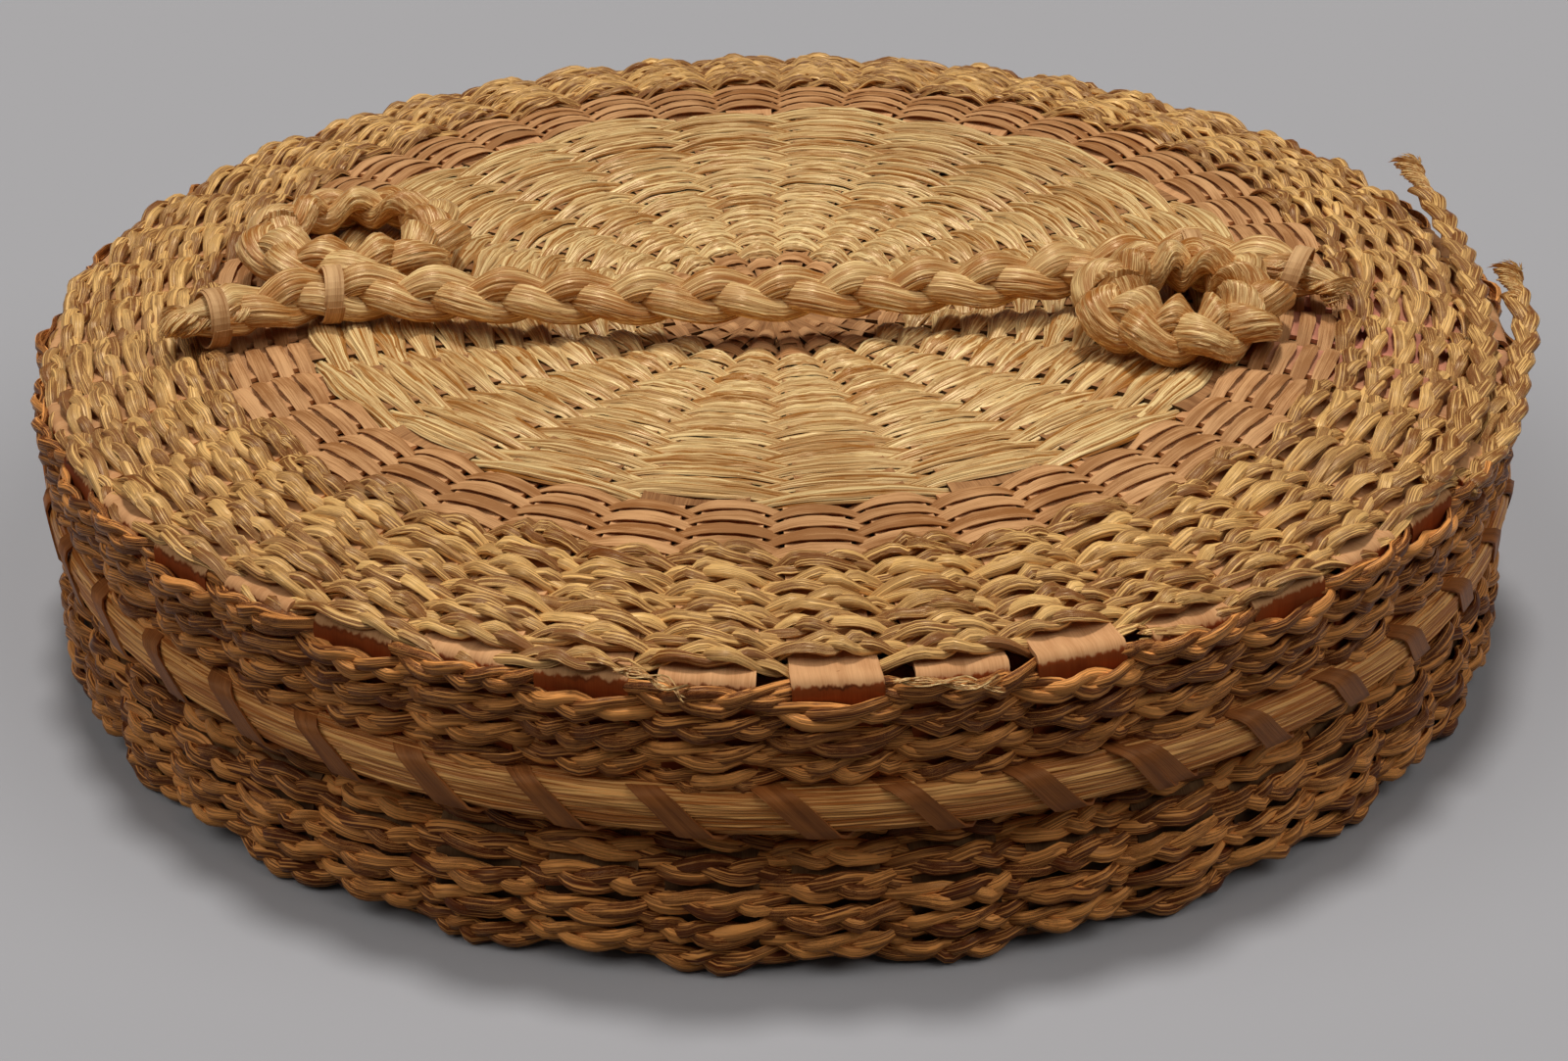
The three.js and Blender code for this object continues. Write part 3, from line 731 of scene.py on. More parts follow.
def plaited_cord_tree():
    """Three strands of many fibres, plaited along a path and frayed where it ends."""
    tree, entry, sizes = begin_tree(
        "plaited_cord",
        {
            "Steps": 170,
            "Sides": 5,
            "Strands": 3,
            "Fibres": 34,
            "Plaits": 7.0,
            "Plait Width": 3.3 * MM,
            "Plait Depth": 1.8 * MM,
            "Strand Width": 3.2 * MM,
            "Strand Depth": 2.6 * MM,
            "Fibre": 0.3 * MM,
            "Core": 1.0,
            "Swell": 0.12,
            "Ridge Depth": 0.16,
            "Tilt": 0.0,
            "Loose Ends": 0.13,
            "Ends": 1.0,
            "Taper": 60.0,
            "Fray Start": 0.96,
            "Fray Spread": 2.0 * MM,
            "Unevenness": 0.6 * MM,
        },
    )
    (steps, sides, strand_count, fibres, plaits, plait_width, plait_depth, strand_width, strand_depth,
     fibre_size, core_share, swell, ridge_depth, tilt, loose_ends, ends, taper, fray_start, fray_spread,
     unevenness) = sizes
    curve = path_curve(tree, entry)
    geometry, along, around = strips(tree, numbered_points(tree, strand_count * fibres), steps, sides)
    number, chance = held(tree, "number"), held(tree, "chance")
    strand = (number / fibres + ROUNDING).floor()
    fibre = number - strand * fibres
    core = (1.0 - fibre).share()
    rind = 1.0 - core
    spread = rind * (BLADE_PLACES[0] + chance * BLADE_PLACES[1])
    fullness = fibre_size * (BLADE_SIZES[0] + chance * BLADE_SIZES[1]) * rind
    loose = ((along - fray_start) / (1.0 - fray_start)).share() * ends
    fray = fray_spread * loose * loose
    share = 0.5 + (along - 0.5) * (1.0 - chance * BLADE_SHORTENING * ends)
    wave = (share * plaits + strand / strand_count) * math.tau
    upper = (wave * 2.0).sin()
    spin = fibre / (fibres - 1.0) * math.tau + share * BLADE_TWIST
    sway = noise(tree, vector_of(tree, along * SWAY_LENGTH, number * SWAY_STEP, 0.0), SWAY_SCALE)
    rise_place = vector_of(tree, along * SWAY_LENGTH, number * RISE_STEP, RISE_START)
    rise = noise(tree, rise_place, SWAY_SCALE)
    furrow_along = (share * math.tau).cos() * FURROW_RUN + strand * FURROW_STEP
    furrow = noise(tree, vector_of(tree, around.cos() * FURROWS, around.sin() * FURROWS, furrow_along), 1.0)
    core = core * core_share * (1.0 + furrow * ridge_depth * 2.0)
    section_side = around.cos() * (fullness + core * strand_width * (1.0 + swell * upper))
    section_lift = around.sin() * (fullness + core * strand_depth)
    tip = ((1.0 - (along * 2.0 - 1.0).size()) * taper + 1.0 - ends).share()
    inward = 0.5 - (along - 0.5).size()
    plaited = ((inward - loose_ends * UNPLAITED) / (loose_ends * UNPLAITING + LEAST_SHARE)).share()
    bundled = 1.0 - plaited
    drawn_in = 1.0 - bundled * TUFT_DRAW
    lay = strand / strand_count * math.tau + share * TUFT_TWIST
    tuft = strand_width * TUFT_HALF * bundled
    side = plait_width * wave.sin() * plaited + tuft * lay.cos()
    side = side + strand_width * spread * spin.cos() * drawn_in + unevenness * sway
    side = side + fray * spin.cos() * (FRAY_LEAST + chance) + section_side * tip
    lift = plait_depth * upper * plaited + tuft * lay.sin() * TUFT_FLATNESS
    lift = lift + strand_depth * spread * spin.sin() * drawn_in + unevenness * rise
    lift = lift + fray * (spin.sin() * FRAY_RISE - FRAY_DROOP) + section_lift * tip
    middle, _, across, upright = curve_frame(tree, curve, share)
    outward = side * tilt.cos() + lift * tilt.sin()
    upward = lift * tilt.cos() - side * tilt.sin()
    position = vector_maths(tree, "ADD", middle, scaled(tree, across, outward))
    position = vector_maths(tree, "ADD", position, scaled(tree, upright, upward))
    grain = grain_of(tree, along * CORD_RUN, section_side, section_lift, chance)
    end_tree(tree, entry, geometry, position, grain)


# Standards: their sway from side to side, their tips and the run of their grain
SWAYS = 5.0
STAKE_STEP = 3.1
STAKE_BLUNTNESS = 40.0
STAKE_RUN = 150.0


def splint_stakes_tree():
    """Flat splints side by side round the basket, each bent along one profile."""
    tree, entry, sizes = begin_tree(
        "splint_stakes",
        {
            "Steps": 60,
            "Sides": 9,
            "Count": FINGERS,
            "Offset": 0.5,
            "Half Share": 0.38,
            "Least Half Width": 0.0,
            "Thickness": SPLINT,
            "Stack": 0.0,
            "Unevenness": 0.12,
        },
    )
    steps, sides, count, offset, half_share, least_half_width, thickness, stack, unevenness = sizes
    curve = path_curve(tree, entry)
    geometry, along, around = strips(tree, numbered_points(tree, count), steps, sides)
    number, chance = held(tree, "number"), held(tree, "chance")
    pitch = math.tau / count
    middle, ahead, _, _ = curve_frame(tree, curve, along)
    radius, _, height = parts_of(tree, middle)
    ahead_out, _, ahead_up = parts_of(tree, ahead)
    sway = noise(tree, vector_of(tree, along * SWAYS, number * STAKE_STEP, 0.0), 1.0)
    tip = (along * STAKE_BLUNTNESS).share() * ((1.0 - along) * STAKE_BLUNTNESS).share()
    section_side, section_lift = flat_section(around)
    share = half_share * (1.0 + (chance - 0.5) * unevenness)
    half_width = maths(tree, "MAXIMUM", share * pitch * radius, least_half_width)
    angle = (number + offset + sway * unevenness) * pitch
    east, north = angle.cos(), angle.sin()
    lift = section_lift * thickness * -0.5 * tip + stack * number / count
    out = radius - ahead_up * lift
    up = height + ahead_out * lift
    breadth = section_side * half_width
    position = vector_of(tree, out * east - breadth * north, out * north + breadth * east, up)
    end_tree(tree, entry, geometry, position, grain_of(tree, along * STAKE_RUN, breadth, 0.0, chance))


# Lashings: sway and width of the ribbon, squareness of a wrap and the run of its grain
WRAP_SCALE = 22.0
WIDTH_SCALE = 16.0
WIDTH_START = 3.0
WIDTH_SWING = 0.9
WRAP_SQUARENESS = 1.35
WRAP_RUN = 28.0


def rim_lashing_tree():
    """One ribbon wound round and round a rim, slanting across its outside."""
    tree, entry, sizes = begin_tree(
        "rim_lashing",
        {
            "Steps": 900,
            "Sides": 9,
            "Start": BACK,
            "Turn": math.tau,
            "Wraps": 44.0,
            "Half Height": 4.5 * MM,
            "Half Depth": 4.0 * MM,
            "Half Width": 3.0 * MM,
            "Thickness": 0.5 * MM,
            "Slant": 0.08,
            "Unevenness": 1.2 * MM,
        },
    )
    (steps, sides, start, turn, wraps, half_height, half_depth, half_width, thickness, slant,
     unevenness) = sizes
    geometry, along, around = strips(tree, entry.outputs["Geometry"], steps, sides)
    radius, height, lean, chance = [
        held(tree, name) for name in ("ring_radius", "ring_height", "ring_lean", "chance")
    ]
    angle = start + along * turn
    east, north = angle.cos(), angle.sin()
    sway = noise(tree, vector_of(tree, east, north, chance), WRAP_SCALE)
    width_noise = noise(tree, vector_of(tree, east, north, chance + WIDTH_START), WIDTH_SCALE)
    winding = math.pi / 2 - along * wraps * math.tau
    section_side, section_lift = flat_section(around)
    breadth = section_side * half_width * (1.0 + width_noise * WIDTH_SWING)
    depth = section_lift * thickness * -0.5
    outward = (winding.cos() * WRAP_SQUARENESS).within(-1.0, 1.0)
    upward = (winding.sin() * WRAP_SQUARENESS).within(-1.0, 1.0)
    lift = half_depth * outward + depth * winding.cos()
    side = 0.0 - half_height * upward - depth * winding.sin()
    place = angle + (breadth + unevenness * sway) / radius - winding.sin() * slant * turn / wraps
    out, up = off_ring(radius, height, lean, side, lift)
    position = vector_of(tree, out * place.cos(), out * place.sin(), up)
    run = (along - 0.5).size() * wraps * WRAP_RUN
    end_tree(tree, entry, geometry, position, vector_of(tree, run, breadth / MM, 0.0))


# Groups of the finishes


def from_screen(code):
    """Linear colour of a screen colour code, by the curve of standard screens."""
    channels = [int(code[index:index + 2], 16) / 255 for index in (0, 2, 4)]
    return tuple(c / 12.92 if c <= 0.04045 else ((c + 0.055) / 1.055) ** 2.4 for c in channels)


def opaque(colour):
    return (*colour, 1.0)


def begin_group(name, inputs, outputs):
    """New shader group with its inputs and outputs."""
    tree = bpy.data.node_groups.new(name, "ShaderNodeTree")
    kinds = {float: "NodeSocketFloat", tuple: "NodeSocketColor"}
    for label, default in inputs.items():
        socket = tree.interface.new_socket(label, in_out="INPUT", socket_type=kinds[type(default)])
        socket.default_value = default
    for label, kind in outputs.items():
        tree.interface.new_socket(label, in_out="OUTPUT", socket_type=kind)
    return tree, tree.nodes.new("NodeGroupInput").outputs, tree.nodes.new("NodeGroupOutput").inputs


def mixed(tree, share, first, second, blend="MIX"):
    inputs = {"Fac": share, "Color1": first, "Color2": second}
    return add_node(tree, "ShaderNodeMixRGB", inputs, blend_type=blend).outputs["Color"]


def stretched_noise(tree, vector, stretch, scale=1.0, detail=3.0):
    return noise(tree, vector_maths(tree, "MULTIPLY", vector, stretch), scale, detail)


def begin_grain(name):
    """New group of a grain, with its sockets, the grain's place, its fine form and the strand's chance."""
    tree, entry, result = begin_group(
        name,
        {"Light": (1.0, 1.0, 1.0, 1.0), "Dark": (0.0, 0.0, 0.0, 1.0), "Fineness": 1.0, "Contrast": 1.0},
        {"Color": "NodeSocketColor", "Height": "NodeSocketFloat"},
    )
    grain = add_node(tree, "ShaderNodeAttribute", attribute_name="grain").outputs["Vector"]
    chance = add_node(tree, "ShaderNodeAttribute", attribute_name="chance").outputs["Fac"]
    fine = scaled(tree, grain, Field(tree, entry["Fineness"]))
    return tree, entry, result, grain, fine, drawn(tree, chance) - 0.5


def end_grain(tree, entry, result, swing, middle, height):
    """Gives a grain its colour, from dark to light about a middle tone, and the height of its relief."""
    tone = (swing * Field(tree, entry["Contrast"]) + middle).share()
    connect(tree, mixed(tree, tone, entry["Dark"], entry["Light"]), result["Color"])
    connect(tree, height, result["Height"])


# Grass: stretch of its fibres and blades, weights of their tones, and the creases between them, which are
# grooved in the relief and darkened as painted shade
FIBRE_STRETCH = (0.03, 1.9, 1.9)
FIBRE_DETAIL = 1.0
FIBRE_TONE = 2.0
BLADE_STRETCH = (0.05, 0.7, 0.7)
BLADE_TONE = 1.5
BLADE_HEIGHT = 0.6
STRAND_TONE = 0.8
CREASE_SHARPNESS = 13.0
CREASE_SHADE = 0.55
CREASE_DEPTH = 0.5
GRASS_MIDDLE = 0.62


def strand_grain_group():
    """Fibres along a strand: lighter and darker blades, painted shade in the creases between them, and the
    height of their ridges.
    """
    tree, entry, result, grain, fine, strand = begin_grain("strand_grain")
    fibre = stretched_noise(tree, fine, FIBRE_STRETCH, detail=FIBRE_DETAIL)
    blade = stretched_noise(tree, grain, BLADE_STRETCH)
    crease = (1.0 - fibre.size() * CREASE_SHARPNESS).share()
    # The creases darken the colour as painted shade, and lower the relief as grooves
    swing = fibre * FIBRE_TONE + blade * BLADE_TONE + strand * STRAND_TONE - crease * CREASE_SHADE
    height = fibre + blade * BLADE_HEIGHT - crease * CREASE_DEPTH
    end_grain(tree, entry, result, swing, GRASS_MIDDLE, height)


# Ash: stretch of its pores, streaks and clouds, and weights of their tones
PORE_STRETCH = (0.12, 4.5, 1.0)
PORE_DETAIL = 4.0
PORE_TONE = 1.6
STREAK_STRETCH = (0.03, 0.55, 1.0)
STREAK_TONE = 1.4
STREAK_HEIGHT = 0.5
CLOUD_STRETCH = (0.09, 0.2, 1.0)
CLOUD_TONE = 1.2
SPLINT_TONE = 0.5
ASH_MIDDLE = 0.5


def splint_grain_group():
    """Ash splint: pores and streaks along a ribbon, and clouds of tone."""
    tree, entry, result, grain, fine, strand = begin_grain("splint_grain")
    pores = stretched_noise(tree, fine, PORE_STRETCH, detail=PORE_DETAIL)
    streak = stretched_noise(tree, grain, STREAK_STRETCH)
    cloud = stretched_noise(tree, grain, CLOUD_STRETCH)
    swing = pores * PORE_TONE + streak * STREAK_TONE + cloud * CLOUD_TONE + strand * SPLINT_TONE
    end_grain(tree, entry, result, swing, ASH_MIDDLE, pores + streak * STREAK_HEIGHT)


# Age: scale, spread and middle of the patches of dust and of the brown stains
PATCH_SCALE = 34.0
PATCH_DETAIL = 4.0
PATCH_SWING = 2.2
PATCH_MIDDLE = 0.35
STAIN_STRETCH = (1.0, 1.0, 1.4)
STAIN_SCALE = 17.0
STAIN_SWING = 2.4
STAIN_MIDDLE = 0.4
STAIN = (0.42, 0.30, 0.22, 1.0)


def age_group():
    """Uneven dust and browning over the whole basket."""
    tree, entry, result = begin_group(
        "age",
        {"Color": (0.5, 0.5, 0.5, 1.0), "Dust": (0.4, 0.33, 0.25, 1.0), "Dust Amount": 0.3, "Browning": 0.4},
        {"Color": "NodeSocketColor"},
    )
    place = add_node(tree, "ShaderNodeTexCoord").outputs["Object"]
    patch = noise(tree, place, PATCH_SCALE, PATCH_DETAIL)
    stain = stretched_noise(tree, place, STAIN_STRETCH, STAIN_SCALE)
    dusty = (patch * PATCH_SWING + PATCH_MIDDLE).share() * Field(tree, entry["Dust Amount"])
    browned = (stain * STAIN_SWING + STAIN_MIDDLE).share() * Field(tree, entry["Browning"])
    brown = mixed(tree, browned, entry["Color"], STAIN, "MULTIPLY")
    connect(tree, mixed(tree, dusty, brown, entry["Dust"]), result["Color"])


TREE_MAKERS = {
    "woven_rings": woven_rings_tree,
    "plaited_cord": plaited_cord_tree,
    "splint_stakes": splint_stakes_tree,
    "rim_lashing": rim_lashing_tree,
    "strand_grain": strand_grain_group,
    "splint_grain": splint_grain_group,
    "age": age_group,
}


def tree_named(name):
    """Node tree of a name, made when it is first asked for."""
    if name not in bpy.data.node_groups:
        TREE_MAKERS[name]()
    return bpy.data.node_groups[name]


def use_group(tree, name, **values):
    """Outputs of a shader group that is fed with values."""
    node = add_node(tree, "ShaderNodeGroup", node_tree=tree_named(name))
    for label, value in values.items():
        connect(tree, value, node.inputs[label_of(label)])
    return node.outputs


# Finishes


BUMP = 0.4 * MM
PLAIN_LOOKS = {
    "fineness": 1.0, "contrast": 1.0, "roughness": 0.6, "relief": 0.25, "dust": 0.2, "browning": 0.3,
    "gloss": 0.4,
}

# Each finish as material, grain, stock that gives its colours, and looks that aren't plain
FINISHES = {
    "grass": (
        "loose_sweetgrass", "strand_grain", "grass",
        {"contrast": 0.95, "roughness": 0.34, "relief": 0.3, "dust": 0.0, "gloss": 0.9},
    ),
    "top_braid": (
        "pale_sweetgrass_braid", "strand_grain", "braid",
        {"fineness": 1.5, "contrast": 1.15, "roughness": 0.36, "relief": 0.5, "dust": 0.18, "browning": 0.25,
         "gloss": 0.6},
    ),
    "wall_braid": (
        "brown_sweetgrass_braid", "strand_grain", "wall",
        {"fineness": 1.5, "contrast": 1.25, "roughness": 0.42, "relief": 0.5, "dust": 0.0, "browning": 0.25,
         "gloss": 0.35},
    ),
    "rim_grass": (
        "rim_sweetgrass", "strand_grain", "rim",
        {"contrast": 1.5, "roughness": 0.38, "relief": 0.5, "dust": 0.0, "browning": 0.1, "gloss": 0.5},
    ),
    "handle_grass": (
        "handle_sweetgrass", "strand_grain", "handle",
        {"fineness": 1.8, "roughness": 0.34, "relief": 0.35, "dust": 0.0, "browning": 0.12, "gloss": 0.9},
    ),
    "splint": (
        "ash_standards", "splint_grain", "splint",
        {"contrast": 0.6, "roughness": 0.75, "relief": 0.03, "dust": 0.1, "browning": 0.2, "gloss": 0.2},
    ),
    # Stakes and hoops take the stake colours, a darker copy of the splint's colours that is painted shade for
    # ash lying under the weave
    "stake": ("ash_stakes", "splint_grain", "stake", {"relief": 0.3, "dust": 0.05}),
    "hoop": ("ash_hoops", "splint_grain", "stake", {"relief": 0.3, "dust": 0.05}),
    "weaver": ("ash_weavers", "splint_grain", "weaver", {"contrast": 1.4, "relief": 0.3}),
    "lashing": ("ash_lashing", "splint_grain", "lashing", {"roughness": 0.5, "relief": 0.3, "dust": 0.05}),
    "tie": ("ash_ties", "splint_grain", "tie", {"relief": 0.2, "dust": 0.15, "browning": 0.1}),
}

# Stakes: shade on their outward faces, and how upright a face must be for it
SHADE = (0.035, 0.014, 0.006, 1.0)
SHADE_RISE = 2.0
UPRIGHT_START = 1.6
UPRIGHT_RISE = 2.0

# Folds of the standards: their ragged lower line with painted shade below it, a thin painted shadow line
# along it in spots, and the old dye on a few
RAGGED_STRETCH = (1.0, 1.0, 0.2)
RAGGED_SCALE = 900.0
RAGGED_DEPTH = 2.2
FOLD_BLUR = 0.5 * MM
SHADOW_SPOT_STRETCH = (1.0, 1.0, 0.0)
SHADOW_SPOT_SCALE = 55.0
SHADOW_SPOT_SWING = 5.0
SHADOW_SPOT_MIDDLE = 0.2
SHADOW_SPOT_MOST = 0.85
SHADOW_LINE_DEPTH = 1.2
SHADOW_LINE_SHARPNESS = 1.1
FOLD_SHADOW_LINE = (0.02, 0.01, 0.005, 1.0)
DYED_SPOT = (118 * MM, -24 * MM)
DYED_REACH = 34 * MM
DYED_MOST = 0.7


def shade_outside(tree, base_colour):
    """Darkens the outer side of stakes, which stays in the shade of the weave."""
    coordinates = add_node(tree, "ShaderNodeTexCoord").outputs
    x, y, _ = parts_of(tree, coordinates["Object"])
    across, along, upward = parts_of(tree, coordinates["Normal"])
    outward = ((across * x + along * y) / CORNER[0] * SHADE_RISE + 1.0).share()
    upright = (UPRIGHT_START - upward.size() * UPRIGHT_RISE).share()
    return mixed(tree, outward * upright, base_colour, SHADE)


def fold_shade_and_dye(tree, base_colour):
    """Paints shade, darker and redder, on splint below its fold along a ragged line, with a thin painted
    shadow line along that line in spots, and dyes a few splints.
    """
    colours = bpy.context.scene.basket_colours
    place = add_node(tree, "ShaderNodeTexCoord").outputs["Object"]
    x, y, height = parts_of(tree, place)
    ragged = stretched_noise(tree, place, RAGGED_STRETCH, RAGGED_SCALE) * RAGGED_DEPTH * MM
    # How far a place lies below the ragged fold line, where the painted shade begins
    depth = (FOLD_LEVEL - height + ragged) / FOLD_BLUR
    shadow_spots = stretched_noise(tree, place, SHADOW_SPOT_STRETCH, SHADOW_SPOT_SCALE) * SHADOW_SPOT_SWING + SHADOW_SPOT_MIDDLE
    # Painted shadow: a near-black line just below the fold line, in spots
    shadow_line = (1.0 - (depth - SHADOW_LINE_DEPTH).size() * SHADOW_LINE_SHARPNESS).share() * shadow_spots.within(0.0, SHADOW_SPOT_MOST)
    from_x, from_y = x - DYED_SPOT[0], y - DYED_SPOT[1]
    away = (from_x * from_x + from_y * from_y).root()
    dyed = (1.0 - away / DYED_REACH).within(0.0, DYED_MOST)
    base_colour = mixed(tree, dyed, base_colour, opaque(colours.dye))
    # Painted shade: the splint is multiplied by the fold tint below the fold line
    shaded_red = mixed(tree, 1.0, base_colour, opaque(colours.fold), "MULTIPLY")
    shaded_below_fold = mixed(tree, depth.share(), base_colour, shaded_red)
    return mixed(tree, shadow_line, shaded_below_fold, FOLD_SHADOW_LINE)


# Painted shade added to the colour of some finishes, and the dye on a few splints
EXTRA_COLOUR = {"stake": shade_outside, "splint": fold_shade_and_dye}


def finish(key):
    """Material of dry plant fibre, made when first asked for: its grain, age and relief."""
    name, grain, stock, special = FINISHES[key]
    if name in bpy.data.materials:
        return bpy.data.materials[name]
    looks = {**PLAIN_LOOKS, **special}
    colours = bpy.context.scene.basket_colours
    light, dark = getattr(colours, stock + "_light"), getattr(colours, stock + "_dark")
    material = bpy.data.materials.new(name)
    material.use_nodes = True
    tree = material.node_tree
    shader = tree.nodes["Principled BSDF"]
    fibres = use_group(tree, grain, light=opaque(light), dark=opaque(dark), fineness=looks["fineness"],
                       contrast=looks["contrast"])
    base_colour = use_group(tree, "age", color=fibres["Color"], dust=opaque(colours.dust), dust_amount=looks["dust"],
                     browning=looks["browning"])["Color"]
    if key in EXTRA_COLOUR:
        base_colour = EXTRA_COLOUR[key](tree, base_colour)
    connect(tree, base_colour, shader.inputs["Base Color"])
    inputs = {"Strength": looks["relief"], "Distance": BUMP, "Height": fibres["Height"]}
    bump = add_node(tree, "ShaderNodeBump", inputs)
    connect(tree, bump.outputs["Normal"], shader.inputs["Normal"])
    shader.inputs["Roughness"].default_value = looks["roughness"]
    shader.inputs["Specular IOR Level"].default_value = looks["gloss"]
    shader.inputs["Specular Tint"].default_value = opaque(colours.gloss)
    return material


# Pieces


def grow(name, mesh, tree_name, look, sizes):
    """Plain mesh object that a tree makes from a mesh of points or a path."""
    tree = tree_named(tree_name)
    piece = bpy.data.objects.new(name, mesh)
    bpy.context.scene.collection.objects.link(piece)
    modifier = piece.modifiers.new(tree_name, "NODES")
    modifier.node_group = tree
    identifiers = {
        item.name: item.identifier
        for item in tree.interface.items_tree
        if item.item_type == "SOCKET" and item.in_out == "INPUT"
    }
    for label, value in sizes.items():
        modifier[identifiers[label_of(label)]] = value
    modifier[identifiers["Material"]] = finish(look)
    depsgraph = bpy.context.evaluated_depsgraph_get()
    made = bpy.data.meshes.new_from_object(piece.evaluated_get(depsgraph))
    piece.modifiers.clear()
    piece.data = made
    made.name = name
    for field in SPENT_FIELDS.intersection([attribute.name for attribute in made.attributes]):
        made.attributes.remove(made.attributes[field])
    bpy.data.meshes.remove(mesh)
    return piece


def settle(piece, body, slot, *nodes):
    """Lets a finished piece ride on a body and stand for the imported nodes."""
    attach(piece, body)
    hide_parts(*nodes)


def strand_mesh(name, strands):
    """Mesh with a point at the origin for each strand, which holds the strand's place."""
    mesh = bpy.data.meshes.new(name)
    mesh.from_pydata([(0.0, 0.0, 0.0)] * len(strands), [], [])
    for field in STRAND_FIELDS:
        attribute = mesh.attributes.new(field, "FLOAT", "POINT")
        attribute.data.foreach_set("value", [strand.get(field, 0.0) for strand in strands])
    return mesh


def path_mesh(name, points, closed=False):
    """Mesh of edges that run through points."""
    count = len(points)
    edges = [(index, index + 1) for index in range(count - 1)]
    if closed:
        edges.append((count - 1, 0))
    mesh = bpy.data.meshes.new(name)
    mesh.from_pydata([tuple(point) for point in points], edges, [])
    return mesh


def weave(name, strands, look, sizes, body, slot, *nodes):
    """Piece of strands that run round the basket."""
    settle(grow(name, strand_mesh(name, strands), "woven_rings", look, sizes), body, slot, *nodes)


def plait(name, path, look, sizes, slot, node, closed=False):
    """Piece of the lid that is plaited along a path."""
    settle(grow(name, path_mesh(name, path, closed), "plaited_cord", look, sizes), "lid", slot, node)


def row_at(profile, distance, row, lot, **fields):
    """Place of one strand of a row at a distance along a profile."""
    radius, height, lean = profile.at(distance)
    strand = {"ring_radius": radius, "ring_height": height, "ring_lean": lean}
    strand.update({"over_phase": float(row % 2), "row": float(row), "chance": lot.random()})
    strand.update(fields)
    return strand


def braid_rows(profile, distances, first_row, lot):
    """Three plaited strands for each row of braid."""
    strands = []
    for index, distance in enumerate(distances):
        start = lot.random() * math.tau
        for number in range(3):
            phase = start + number * math.tau / 3
            strands.append(row_at(profile, distance, first_row + index, lot, strand_phase=phase))
    return strands


def flat_rows(profile, distances, first_row, lot):
    """One flat weaver for each row."""
    return [row_at(profile, distance, first_row + index, lot) for index, distance in enumerate(distances)]


def spaced(start, end, pitch):
    """Middles of rows that fill a stretch at about a pitch."""
    count = max(1, round((end - start) / pitch))
    return [start + (end - start) * (index + 0.5) / count for index in range(count)]


def in_thirds(rows):
    """First row and rows of each third, of which the last takes what is left over."""
    third = len(rows) // 3
    return [(0, rows[:third]), (third, rows[third:2 * third]), (2 * third, rows[2 * third:])]


def braid_fit(profile, distances, steps_per_plait=STEPS_PER_PLAIT, turn=math.tau):
    """Steps and plaits that give the braid its period on the middle one of some rows."""
    radius = profile.at(distances[len(distances) // 2])[0]
    plaits = round(math.tau * radius / bpy.context.scene.basket_sizes.braid_period)
    return {"plaits": float(plaits), "steps": round((plaits * steps_per_plait + 1) * turn / math.tau)}


def standards(name, profile, split, look, body, node):
    """Crossed splints, each arm split into two fingers further out."""
    arms = path_mesh(name, profile.stretch(0.0, split + ARM_OVERLAP, ARM_STOPS))
    # The arms take the darker stake finish, painted shade for the ash under the fan
    settle(grow(name + "_arms", arms, "splint_stakes", "stake", ARM), body, "ash_splint", node)
    fingers = path_mesh(name, profile.stretch(split, profile.marks[-1] - FINGER_GAP, FINGER_STOPS))
    settle(grow(name + "_fingers", fingers, "splint_stakes", look, FINGER), body, "ash_splint", node)


def rim_strand(profile, distance, off, seed):
    """Strand at a distance along a profile and a distance off it."""
    strand = row_at(profile, distance, 0, random.Random(seed))
    strand["ring_radius"] += off * math.cos(strand["ring_lean"])
    strand["ring_height"] += off * math.sin(strand["ring_lean"])
    return strand


def hoop(name, profile, distance, off, body, node):
    """Flat ash hoop on one side of the stakes."""
    weave(name, [rim_strand(profile, distance, off, HOOP_SEED)], "hoop", HOOP, body, "ash_splint", node)


def lashing(name, profile, distance, off, sizes, body, node, wraps=FINGERS, begin=BACK):
    """Slanting wraps round a rim, as a rule one for each finger."""
    mesh = strand_mesh(name, [rim_strand(profile, distance, off, LASHING_SEED)])
    winding = {
        "steps": wraps * STEPS_PER_WRAP + 1, "start": begin, "turn": math.tau * wraps / FINGERS,
        "wraps": float(wraps),
    }
    settle(grow(name, mesh, "rim_lashing", "lashing", {**winding, **sizes}), body, "ash_weaver", node)


def smooth_path(stops, steps):
    """Points of a smooth line through stops."""
    padded = [stops[0] * 2 - stops[1], *stops, stops[-1] * 2 - stops[-2]]
    points = []
    for before, start, end, after in zip(padded, padded[1:], padded[2:], padded[3:]):
        slope = end - before
        bend = 2.0 * before - 5.0 * start + 4.0 * end - after
        twist = 3.0 * start - before - 3.0 * end + after
        for step in range(steps):
            t = step / steps
            points.append(0.5 * (2.0 * start + slope * t + bend * t * t + twist * t * t * t))
    return points + [stops[-1]]


def colour(name, code, words):
    return bpy.props.FloatVectorProperty(
        name=name, description=words, subtype="COLOR", size=3, min=0.0, max=1.0, default=from_screen(code)
    )


def length(name, millimetres, words):
    return bpy.props.FloatProperty(
        name=name, description=words, subtype="DISTANCE", unit="LENGTH", precision=5,
        default=millimetres * MM,
    )


class BasketSizes(bpy.types.PropertyGroup):
    """Sizes of the stock that the basket is woven from."""

    braid_pitch: length("Braid Pitch", 2.68, "Distance from one row of braid to the next")
    braid_period: length("Braid Period", 27.0, "Length of one full plait of the braid")
    grass_pitch: length("Grass Pitch", 3.0, "Distance from one row of loose sweetgrass to the next")
    band_pitch: length("Band Pitch", 2.1, "Distance from one row of the splint band to the next")


